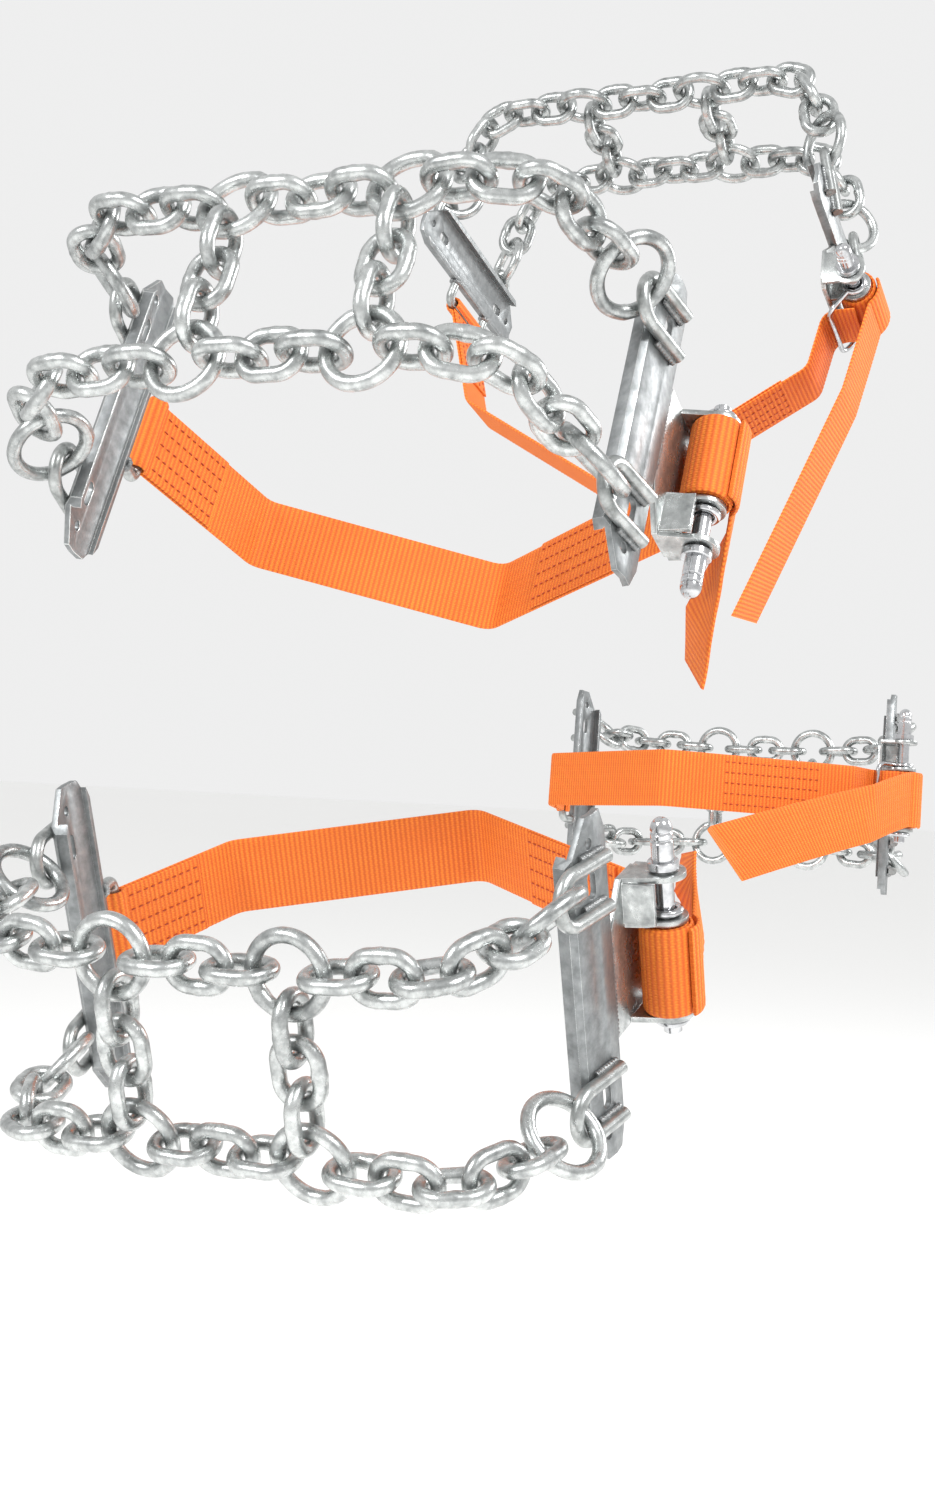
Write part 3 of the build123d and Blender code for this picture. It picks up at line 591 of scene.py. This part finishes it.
for section in SECTIONS:
    bar = section + "_bar"
    finished_copy(section + "_outer_bar", dipped_plate, BAR_EDGE, bar)
    finished_copy(section + "_inner_bar", dipped_plate, BAR_EDGE, "root")
    finished_copy(section + "_buckle_frame", pressed_plate, FRAME_EDGE, bar)
    finished_copy(section + "_outer_eyes", plated_rod, 0, bar)
    finished_copy(section + "_inner_eyes", plated_rod, 0, "root")
    finished_copy(section + "_lock_bail", bright_plate, 0, section + "_bail")
print("pressed and bent pieces:", 6 * len(SECTIONS))

# %% [markdown]
# The spindle is turned on a lathe: a plain shaft, a collar and a long rounded end that a hand grips to
# wind the strap in. A turned piece is one outline spun round its axis, so its gloss runs round it without
# a break. Both ends of the outline lie on the axis, which closes the shape.

# %% Turned spindles
SHAFT_RADIUS = 5.0 * MM
COLLAR_RADIUS, COLLAR_WIDTH = 8.5 * MM, 5.0 * MM
HEAD_RADIUS, HEAD_LENGTH = 6.0 * MM, 24.0 * MM
GROOVE_DEPTH, GROOVE_HALF = 0.6 * MM, 1.1 * MM
GROOVES = (8 * MM, 12.5 * MM)        # from the tip
EDGE_BREAK = 0.6 * MM
ROUND_LENGTH = 7 * MM
LATHE_STEPS = 56


def spindle_outline(length):
    """Outline from the plain end to the tip: (distance along the axis, radius)."""
    collar = length - HEAD_LENGTH - COLLAR_WIDTH
    outline = [(0, 0), (0, SHAFT_RADIUS - EDGE_BREAK), (EDGE_BREAK, SHAFT_RADIUS), (collar, SHAFT_RADIUS)]
    outline += [(collar, COLLAR_RADIUS - EDGE_BREAK), (collar + EDGE_BREAK, COLLAR_RADIUS)]
    outline += [(collar + COLLAR_WIDTH - EDGE_BREAK, COLLAR_RADIUS),
                (collar + COLLAR_WIDTH, COLLAR_RADIUS - EDGE_BREAK), (collar + COLLAR_WIDTH, HEAD_RADIUS)]
    for groove in sorted(GROOVES, reverse=True):
        middle = length - groove
        outline += [(middle + GROOVE_HALF * t, HEAD_RADIUS - GROOVE_DEPTH * math.cos(t * math.pi / 2))
                    for t in (-1, -0.5, 0, 0.5, 1)]
    outline += [(length - ROUND_LENGTH * (1 - math.sin(a)), HEAD_RADIUS * math.cos(a))
                for a in np.linspace(0, math.pi / 2, 9)]
    return outline


def turned(name, outline, foot, axis, material):
    """The outline spun about the axis from the foot, as a closed smooth mesh."""
    work = bmesh.new()
    side = axis.orthogonal().normalized()
    line = [work.verts.new(foot + axis * along + side * radius) for along, radius in outline]
    edges = [work.edges.new(pair) for pair in zip(line, line[1:])]
    bmesh.ops.spin(work, geom=line + edges, cent=foot, axis=axis, angle=2 * math.pi, steps=LATHE_STEPS)
    bmesh.ops.remove_doubles(work, verts=work.verts, dist=MERGE)
    bmesh.ops.recalc_face_normals(work, faces=work.faces)
    mesh = bpy.data.meshes.new(name)
    work.to_mesh(mesh)
    work.free()
    mesh.materials.append(material)
    return smooth(new_object(name, mesh), 35)


for section in SECTIONS:
    seat = joint_place(section, "spindle_turn")
    spans = points_of(section + "_spindle", section)[:, 2]
    head = 1 if spans.max() - seat.z > seat.z - spans.min() else -1
    foot = spans.min() if head > 0 else spans.max()
    foot_place = AXES[section] @ Vector((seat.x, seat.y, foot))
    spindle = turned(section + "_spindle_finished", spindle_outline(spans.max() - spans.min()),
                     foot_place, AXES[section].col[2] * head, bright_plate)
    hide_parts(section + "_spindle")
    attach(spindle, section + "_spindle")
print("spindles:", len(SECTIONS))

# %% [markdown]
# Every eye, rod and buckle is welded on. A hand-laid weld is a bead with the ripples of its pool, one
# every couple of millimetres. It follows a line, so a Geometry Nodes tree sweeps a small circle along the
# seam and swells it at each ripple.

# %% Weld bead tree
BEAD_RADIUS = 1.9 * MM
RIPPLE = 2.4 * MM
RIPPLE_STEPS = 5
RIPPLE_SWELL = 0.1       # share of the radius by which a ripple stands out
POOL = 4 * MM            # size of a bead's uneven patches


def bead_tree():
    """A rippled bead along every edge chain of the incoming mesh."""
    tree = geometry_tree("weld_bead")
    given = node(tree, "NodeGroupInput")
    line = node(tree, "GeometryNodeMeshToCurve", {"Mesh": given.outputs["Geometry"]})
    fine = node(tree, "GeometryNodeResampleCurve", {
        "Curve": line.outputs["Curve"], "Length": RIPPLE / RIPPLE_STEPS}, mode="LENGTH")
    step = node(tree, "GeometryNodeInputIndex")
    phase = calc(tree, "MULTIPLY", step.outputs["Index"], 2 * math.pi / RIPPLE_STEPS)
    ripple = calc(tree, "SINE", phase)
    swell = calc(tree, "MULTIPLY_ADD", ripple, RIPPLE_SWELL, 1.0)
    place = node(tree, "GeometryNodeInputPosition")
    share = calc(tree, "MULTIPLY_ADD", noise(tree, place.outputs["Position"], POOL), 0.5, -0.25)
    size = calc(tree, "ADD", swell, share)
    section = node(tree, "GeometryNodeCurvePrimitiveCircle", {"Resolution": 10, "Radius": BEAD_RADIUS})
    bead = node(tree, "GeometryNodeCurveToMesh", {
        "Curve": fine.outputs["Curve"], "Profile Curve": section.outputs["Curve"],
        "Scale": size, "Fill Caps": True})
    finish_tree(tree, bead.outputs["Mesh"], weld_metal)
    return tree


weld_bead = bead_tree()


def seam_mesh(seams):
    """A mesh of open lines, one for each seam."""
    mesh = bpy.data.meshes.new("seams")
    points, edges = [], []
    for seam in seams:
        edges += [(len(points) + i, len(points) + i + 1) for i in range(len(seam) - 1)]
        points += seam
    mesh.from_pydata(points, edges, [])
    return mesh


# %% Find the seams
EYE_ROD = 7.5 * MM
LEG_SEAM, LEG_END = 20 * MM, 0.5 * MM
BESIDE, SUNK = 0.46, 0.36            # a leg's seam: beside and below its middle, as shares of the rod
FOOT_BAND = 1.0 * MM                 # depth of the frame's foot
FOOT_PROUD = 0.4 * MM                # bead's middle line off the foot and off its face
FOOT_END = 3 * MM
FOOT_STEPS = 8
ROD_END_PROUD = 0.8 * MM
HALF_RING_STEPS = 8
LONGEST_EYE = 60 * MM                # a longer rod carries the strap


def rod_axes(section, points):
    """Directions of a flat bent rod: towards the rim, along the tread, away from the tyre's side."""
    _, _, axes = np.linalg.svd(points - points.mean(axis=0), full_matrices=False)
    out = Vector(axes[2])
    tread = AXES[section].col[2]
    rimward = tread.cross(out).normalized()
    if rimward.dot(AXES[section].col[0]) > 0:
        rimward = -rimward
    return rimward, tread, out


def leg_seams(section, points, bar_middle):
    """Two seams beside each leg of an eye, where it lies on the bar's face."""
    rimward, tread, out = rod_axes(section, points)
    if out.dot(Vector(points.mean(axis=0)) - bar_middle) < 0:
        out = -out
    spans = points @ np.array([rimward, tread, out]).T
    far, low, high = spans[:, 0].max(), spans[:, 1].min(), spans[:, 1].max()
    level = (spans[:, 2].min() + spans[:, 2].max()) / 2 - EYE_ROD * SUNK
    seams = []
    for leg in (low + EYE_ROD / 2, high - EYE_ROD / 2):
        for beside in (-1, 1):
            across = leg + beside * EYE_ROD * BESIDE
            seams.append([rimward * (far - along) + tread * across + out * level
                          for along in (LEG_SEAM, LEG_SEAM / 2, LEG_END)])
    return seams


def foot_seam(section):
    """Seam between the bar's rim-side edge and the foot of the buckle frame."""
    spans = points_of(section + "_buckle_frame", section)
    top = spans[:, 0].max()
    foot = spans[spans[:, 0] > top - FOOT_BAND]
    outboard = foot[:, 1].min() + FOOT_PROUD
    levels = np.linspace(foot[:, 2].min() + FOOT_END, foot[:, 2].max() - FOOT_END, FOOT_STEPS + 1)
    return [AXES[section] @ Vector((top + FOOT_PROUD, outboard, level)) for level in levels]


def rod_end_seams(section, points):
    """A ring of weld round each end of the rod that carries the strap."""
    rimward, tread, out = rod_axes(section, points)
    spans = points @ np.array([rimward, tread, out]).T
    near = spans[:, 0].min()
    level = (spans[:, 2].min() + spans[:, 2].max()) / 2
    rings = []
    for leg in (spans[:, 1].min() + EYE_ROD / 2, spans[:, 1].max() - EYE_ROD / 2):
        middle = rimward * (near + ROD_END_PROUD) + tread * leg + out * level
        rings.append([middle + (tread * math.cos(a) + out * math.sin(a)) * EYE_ROD / 2
                      for a in np.linspace(0, 2 * math.pi, 2 * HALF_RING_STEPS + 1)])
    return rings


def middle_of(name):
    """Middle of a CAD node's box."""
    low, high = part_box(name)
    return (Vector(low) + Vector(high)) / 2


rod_middles = {}
for section in SECTIONS:
    outer = [foot_seam(section)]
    for eye in islands(section + "_outer_eyes"):
        outer += leg_seams(section, eye, middle_of(section + "_outer_bar"))
    inner = []
    for rod in islands(section + "_inner_eyes"):
        _, _, sizes = place_of(rod)
        if sizes[0] > LONGEST_EYE:
            inner += rod_end_seams(section, rod)
            rod_middles[section] = rod @ np.array(AXES[section])
        else:
            inner += leg_seams(section, rod, middle_of(section + "_inner_bar"))
    for side, seams, body in (("outer", outer, section + "_bar"), ("inner", inner, "root")):
        bead = run_tree(f"{section}_{side}_welds", seam_mesh(seams), weld_bead)
        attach(bead, body)
print("rods that carry a strap:", len(rod_middles))

# %% [markdown]
# ## The straps
# Each strap is one length of webbing: sewn round the inner bar's rod, through the wheel's hand hole, over
# the rim flange and onto the spindle, with its end hanging free. A strap is flat and nearly stiff across
# its width, so it is built directly as a ribbon that follows a line of straight runs and small bends. The
# ribs of the weave are real waves in its surface.

# %% Ribbon builder
WEBBING = 50 * MM
THICKNESS = 2.4 * MM
RIB_HEIGHT = 0.2 * MM
COLUMNS = 22
RIB_STEPS = 5
BEND = 14 * MM
SELVEDGE = 0.55          # width of the rounded selvedge, in thicknesses
SELVEDGE_DROP = 0.8
SELVEDGE_FADE = 2 * MM   # ribs fade out over this width
RIB_SWAY = 7.2 * MM      # a rib sways a little from side to side at this pitch
EDGE_COLUMNS = 0.35      # how much the columns crowd towards the selvedges
CORNER_STEPS = 12
CORNER_SHARE = 0.45      # the most of a straight run that one corner takes


def rounded_line(points, radius, step):
    """Open line through 2-D points with its corners rounded, sampled every step."""
    line = [Vector(points[0])]
    for before, corner, after in zip(points, points[1:], points[2:]):
        before, corner, after = Vector(before), Vector(corner), Vector(after)
        inward, onward = (before - corner).normalized(), (after - corner).normalized()
        half = inward.angle(onward) / 2
        room = CORNER_SHARE * min((before - corner).length, (after - corner).length)
        reach = min(radius / math.tan(half), room)
        for share in np.linspace(0, 1, CORNER_STEPS):
            start, end = corner + inward * reach, corner + onward * reach
            line.append(start.lerp(corner, share).lerp(corner.lerp(end, share), share))
    line.append(Vector(points[-1]))
    lengths = np.concatenate([[0], np.cumsum([(b - a).length for a, b in zip(line, line[1:])])])
    places = np.linspace(0, lengths[-1], max(2, round(lengths[-1] / step)) + 1)
    flat = np.array([tuple(p) for p in line])
    return np.stack([np.interp(places, lengths, flat[:, i]) for i in (0, 1)], axis=1), places


def line_normals(line):
    """Unit normals of a sampled 2-D line, on its left."""
    along = np.gradient(line, axis=0)
    along /= np.linalg.norm(along, axis=1)[:, None]
    return np.stack([-along[:, 1], along[:, 0]], axis=1)


def ribbon(name, left, right, normals, lengths, thick=THICKNESS):
    """Closed webbing ribbon between two edge lines, with ribs across it and a UV map in metres."""
    rows = len(left)
    shares = (1 - np.cos(np.linspace(0, math.pi, COLUMNS + 1))) / 2
    shares = EDGE_COLUMNS * shares + (1 - EDGE_COLUMNS) * np.linspace(0, 1, COLUMNS + 1)
    edge = np.minimum(shares, 1 - shares) * WEBBING
    half = thick / 2 * np.sqrt(1 - np.clip(1 - edge / (thick * SELVEDGE), 0, 1) ** 2 * SELVEDGE_DROP)
    wave_across = 0.5 * np.sin(2 * math.pi * shares * WEBBING / RIB_SWAY)
    rib = RIB_HEIGHT * np.sin(2 * math.pi * lengths[:, None] / RIB_PITCH + wave_across[None, :])
    ease = np.clip(edge / SELVEDGE_FADE, 0.25, 1)
    middle = left[:, None, :] * (1 - shares)[None, :, None] + right[:, None, :] * shares[None, :, None]
    top = middle + normals[:, None, :] * (half[None, :] + rib * ease[None, :])[:, :, None]
    bottom = middle - normals[:, None, :] * (half[None, :] - rib * ease[None, :])[:, :, None]
    points = np.concatenate([top.reshape(-1, 3), bottom.reshape(-1, 3)])
    wide, below = COLUMNS + 1, rows * (COLUMNS + 1)
    faces, uvs = [], []
    for i in range(rows - 1):
        for j in range(COLUMNS):
            a, b, c, d = i * wide + j, i * wide + j + 1, (i + 1) * wide + j + 1, (i + 1) * wide + j
            faces.append((a, b, c, d))
            faces.append((below + a, below + d, below + c, below + b))
        for j in (0, COLUMNS):
            a, d = i * wide + j, (i + 1) * wide + j
            faces.append((a, d, below + d, below + a) if j == 0 else (d, a, below + a, below + d))
    for i in (0, rows - 1):
        for j in range(COLUMNS):
            a, b = i * wide + j, i * wide + j + 1
            faces.append((b, a, below + a, below + b) if i == 0 else (a, b, below + b, below + a))
    mesh = bpy.data.meshes.new(name)
    mesh.from_pydata(points.tolist(), [], faces)
    layer = mesh.uv_layers.new(name="cloth")
    flat = np.empty(len(mesh.loops), dtype=np.int32)
    mesh.loops.foreach_get("vertex_index", flat)
    within = flat % below
    coords = np.stack([shares[within % wide] * WEBBING, lengths[within // wide]], axis=1)
    layer.data.foreach_set("uv", coords.astype(np.float32).ravel())
    work = bmesh.new()
    work.from_mesh(mesh)
    bmesh.ops.recalc_face_normals(work, faces=work.faces)
    work.to_mesh(mesh)
    work.free()
    mesh.materials.append(webbing_cloth)
    return smooth(new_object(name, mesh), 60)


def lay(section, line, normals, level):
    """2-D section points and normals, at a level along the tread, to row-frame arrays."""
    turn_in = np.array(AXES[section]).T
    flat = np.column_stack([line, np.full(len(line), level)])
    return flat @ turn_in, np.column_stack([normals, np.zeros(len(line))]) @ turn_in


def flat_ribbon(name, section, line, normals, lengths, level, width=WEBBING, thick=THICKNESS):
    """A ribbon whose line stays at one level along the tread."""
    left, facing = lay(section, line, normals, level - width / 2)
    right, _ = lay(section, line, normals, level + width / 2)
    return ribbon(name, left, right, facing, lengths, thick)


def lengths_along(line):
    """Length from a line's start to each of its points."""
    return np.concatenate([[0], np.cumsum(np.linalg.norm(np.diff(line, axis=0), axis=1))])


# %% [markdown]
# The load strap's line comes off the roll, passes the buckle's plate and the rim flange, goes through the
# hand hole to the inner rod, and turns round it. The two layers that meet there are sewn together with
# rows of heavy stitches, and so is the doubled stretch beside the hand hole.

# %% Load straps
FLANGE = (0.301, -0.148)             # radial and inboard places that the strap's middle line passes
HAND_HOLE = (0.205, -0.002)
INNER_PASS = (0.289, 0.137)
ROLL_RADIUS = 15.5 * MM
STRAP_OFF = ROLL_RADIUS + 1.8 * MM   # strap's middle line to the spindle's axis
BELOW_ROLL = 23.0 * MM
STRAP_DRIFT = 0.7 * MM               # how far the strap has moved away from the roll there
ROD_LOOP = 5.55 * MM
LOOP_TURN = (0.15, 1.75 * math.pi)
LOOP_STEPS = 60
RIB_SAMPLE = RIB_PITCH / RIB_STEPS
SEWN_START, SEWN_LENGTH = 88 * MM, 92 * MM

strap_rows = {}
for section in SECTIONS:
    spindle = joint_place(section, "spindle_turn")
    rod = rod_middles[section]
    inner_end = rod[rod[:, 0] < rod[:, 0].min() + EYE_ROD]
    rod_place = (rod[:, 0].min() + EYE_ROD / 2, (inner_end[:, 1].min() + inner_end[:, 1].max()) / 2)
    top = (spindle.x - STRAP_OFF, spindle.y)
    below = (spindle.x - STRAP_OFF - STRAP_DRIFT, spindle.y + BELOW_ROLL)
    join = (rod_place[0] - ROD_LOOP, rod_place[1])
    line, lengths = rounded_line([top, below, FLANGE, HAND_HOLE, INNER_PASS, join], BEND, RIB_SAMPLE)
    loop = [(rod_place[0] - ROD_LOOP * math.cos(a), rod_place[1] + ROD_LOOP * math.sin(a))
            for a in np.linspace(*LOOP_TURN, LOOP_STEPS)]
    line = np.concatenate([line[:-1], np.array(loop)])
    lengths = lengths_along(line)
    normals = line_normals(line)
    strap = flat_ribbon(section + "_load_strap", section, line, normals, lengths, spindle.z)
    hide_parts(section + "_strap")
    strap_rows[section] = (line, normals, lengths, spindle.z)
    start = AXES[section] @ Vector((FLANGE[0], FLANGE[1], spindle.z))
    end = AXES[section] @ Vector((*top, spindle.z))
    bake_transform(strap)
    print(section, "strap line:", round(lengths[-1], 3), "m")

# %% [markdown]
# A sewn lap is a second layer of webbing laid on the strap. Its stitches are rows of short raised threads
# with a gap between them, so a Geometry Nodes tree drops one small thread at every stitch length.

# %% Sewn laps and stitches
STITCH_PITCH = 5.2 * MM
STITCH_ROWS = 5
LAP_THICKNESS = 1.9 * MM
PROUD = 0.1 * MM         # middle of a stitch above the cloth
THREAD = 0.55 * MM
THREAD_STRETCH = (1.5, 1.0, 3.1)
LAP_INSET = 0.6 * MM     # lap's edge inside the strap's edge
END_LAP, END_LAP_LENGTH = 92 * MM, 62 * MM       # the lap at the inner rod, from the strap's end
ROWS_WIDTH = STITCH_ROWS + 0.4
ROW_INSET, ROW_STEP = 6, 3           # strap samples left bare at a row's end, and samples to a point


def stitch_tree():
    """A short thread at every stitch length along each line of the incoming mesh."""
    tree = geometry_tree("row_of_stitches")
    given = node(tree, "NodeGroupInput")
    line = node(tree, "GeometryNodeMeshToCurve", {"Mesh": given.outputs["Geometry"]})
    holes = node(tree, "GeometryNodeCurveToPoints", {
        "Curve": line.outputs["Curve"], "Length": STITCH_PITCH}, mode="LENGTH")
    bulb = node(tree, "GeometryNodeMeshUVSphere", {"Segments": 8, "Rings": 6, "Radius": THREAD})
    stretch = node(tree, "GeometryNodeTransform", {
        "Geometry": bulb.outputs["Mesh"], "Scale": THREAD_STRETCH})
    laid = node(tree, "GeometryNodeInstanceOnPoints", {
        "Points": holes.outputs["Points"], "Instance": stretch.outputs["Geometry"],
        "Rotation": holes.outputs["Rotation"]})
    finish_tree(tree, laid.outputs["Instances"], stitch_thread)
    return tree


row_of_stitches = stitch_tree()
for section in SECTIONS:
    line, normals, lengths, level = strap_rows[section]
    seams = []
    laps = ((SEWN_START, SEWN_LENGTH), (lengths[-1] - END_LAP, END_LAP_LENGTH))
    for number, (start, length) in enumerate(laps):
        chosen = (lengths > start) & (lengths < start + length)
        lap_line = line[chosen] - normals[chosen] * (THICKNESS / 2 + LAP_THICKNESS / 2)
        lap = flat_ribbon(f"{section}_sewn_lap_{number}", section, lap_line, normals[chosen], lengths[chosen],
                          level, WEBBING - 2 * LAP_INSET, LAP_THICKNESS)
        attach(lap, "root")
        for depth in (-(THICKNESS / 2 + LAP_THICKNESS + PROUD), THICKNESS / 2 + PROUD):
            raised = line[chosen] + normals[chosen] * depth
            for row in range(STITCH_ROWS):
                across = (row - (STITCH_ROWS - 1) / 2) * WEBBING / ROWS_WIDTH
                path, _ = lay(section, raised, normals[chosen], level + across)
                seams.append([Vector(p) for p in path[ROW_INSET:-ROW_INSET:ROW_STEP]])
    stitches = run_tree(section + "_strap_stitches", seam_mesh(seams), row_of_stitches)
    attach(stitches, "root")
print("stitch rows:", STITCH_ROWS * 4 * len(SECTIONS))

# %% [markdown]
# The strap is wound on the spindle in three turns. Seen from its end a roll is a spiral, so the winding is
# a ribbon whose line is a spiral. It turns with the spindle, and the free tail leaves its outside.

# %% Rolls
TURNS = 3.2
ROLL_PITCH = 2.6 * MM
WOUND_GAP = 0.1 * MM     # first turn to the spindle
ANGLE_STEP = 0.05
for section in SECTIONS:
    spindle = joint_place(section, "spindle_turn")
    angles = np.arange(0, TURNS * 2 * math.pi, ANGLE_STEP)
    radii = SHAFT_RADIUS + THICKNESS / 2 + WOUND_GAP + ROLL_PITCH * angles / (2 * math.pi)
    radii = np.minimum(radii, ROLL_RADIUS - THICKNESS / 2 - RIB_HEIGHT)
    line = np.column_stack([spindle.x + radii * np.cos(angles), spindle.y + radii * np.sin(angles)])
    lengths = lengths_along(line)
    even = np.arange(0, lengths[-1], RIB_SAMPLE)
    line = np.column_stack([np.interp(even, lengths, line[:, i]) for i in (0, 1)])
    normals = line_normals(line)
    roll = flat_ribbon(section + "_winding", section, line, normals, even, spindle.z)
    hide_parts(section + "_webbing_roll")
    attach(roll, section + "_spindle")
print("turns on each spindle:", TURNS)

# %% [markdown]
# The tail hugs the last quarter turn of the roll, leaves it towards the rim and hangs where it fell. Its
# end is cut at a slant. It is one ribbon that bends across the hinge at the tail's root.

# %% Free tails
TAIL_ROUTES = {          # bend (radial, outboard) and tip (radial, outboard, along the tread), in metres
    "upper_front": ((0.306, 0.188), (0.283, 0.162, 0.100)),
    "lower_front": ((0.318, 0.186), (0.298, 0.165, -0.042)),
    "upper_rear": ((0.278, 0.179), (0.082, 0.120, 0.027)),
    "lower_rear": ((0.284, 0.170), (0.152, 0.062, -0.078)),
}
TAIL_CUT = 20 * MM
TAIL_BEND = 9 * MM
HUG = np.radians(np.linspace(85, 8, 10))     # angles before the root at which the tail lies on the roll
SIDEWAYS = 1.15          # above 1, the tail drifts along the tread later than it goes inwards
FEWEST_STEPS = 12

for section in SECTIONS:
    bend, tip = TAIL_ROUTES[section]
    root = joint_place(section, "tail_swing")
    spindle = joint_place(section, "spindle_turn")
    off = math.hypot(root.x - spindle.x, root.y - spindle.y)
    root_angle = math.atan2(root.y - spindle.y, root.x - spindle.x) % (2 * math.pi)
    hug = [(spindle.x + off * math.cos(a), spindle.y + off * math.sin(a)) for a in root_angle + HUG]
    line, _ = rounded_line(hug + [(bend[0], -bend[1]), (tip[0], -tip[1])], TAIL_BEND, RIB_SAMPLE)
    hugged = int(np.argmin(np.hypot(line[:, 0] - root.x, line[:, 1] - root.y)))
    along = Vector((tip[0] - root.x, tip[2] - root.z)).normalized()
    across = Vector((along.y, -along.x)) * WEBBING / 2
    ends = (Vector((tip[0], tip[2])) - across - along * TAIL_CUT, Vector((tip[0], tip[2])) + across)
    starts = (Vector((root.x, root.z - WEBBING / 2)), Vector((root.x, root.z + WEBBING / 2)))
    normals = line_normals(line)
    free, free_normals = line[hugged:], normals[hugged:]
    steps = max(FEWEST_STEPS, round((free[:, 0].max() - ends[1].x) / RIB_SAMPLE))
    shares = np.linspace(0, 1, steps + 1)
    order = np.argsort(free[:, 0])
    edges = []
    for start, end in zip(starts, ends):
        plan_x = start.x + (end.x - start.x) * shares
        plan_z = start.y + (end.y - start.y) * shares ** SIDEWAYS
        plan_y = np.interp(plan_x, free[order, 0], free[order, 1])
        edges.append(np.column_stack([plan_x, plan_y, plan_z]))
    middle_x = (edges[0][:, 0] + edges[1][:, 0]) / 2
    free_facing = np.column_stack([
        np.interp(middle_x, free[order, 0], free_normals[order, i]) for i in (0, 1)])
    turn_in = np.array(AXES[section]).T
    left, right_edge = [
        np.concatenate([np.column_stack([line[:hugged], np.full(hugged, start.y)]), edge]) @ turn_in
        for start, edge in zip(starts, edges)]
    facing = np.concatenate([normals[:hugged], free_facing])
    facing = np.column_stack([facing, np.zeros(len(left))]) @ turn_in
    middle = (left + right_edge) / 2
    lengths = lengths_along(middle)
    tail = ribbon(section + "_free_tail", left, right_edge, facing, lengths)
    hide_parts(section + "_strap_tail")
    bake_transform(tail)
    print(section, "tail from the roll:", round(lengths[-1], 3), "m")
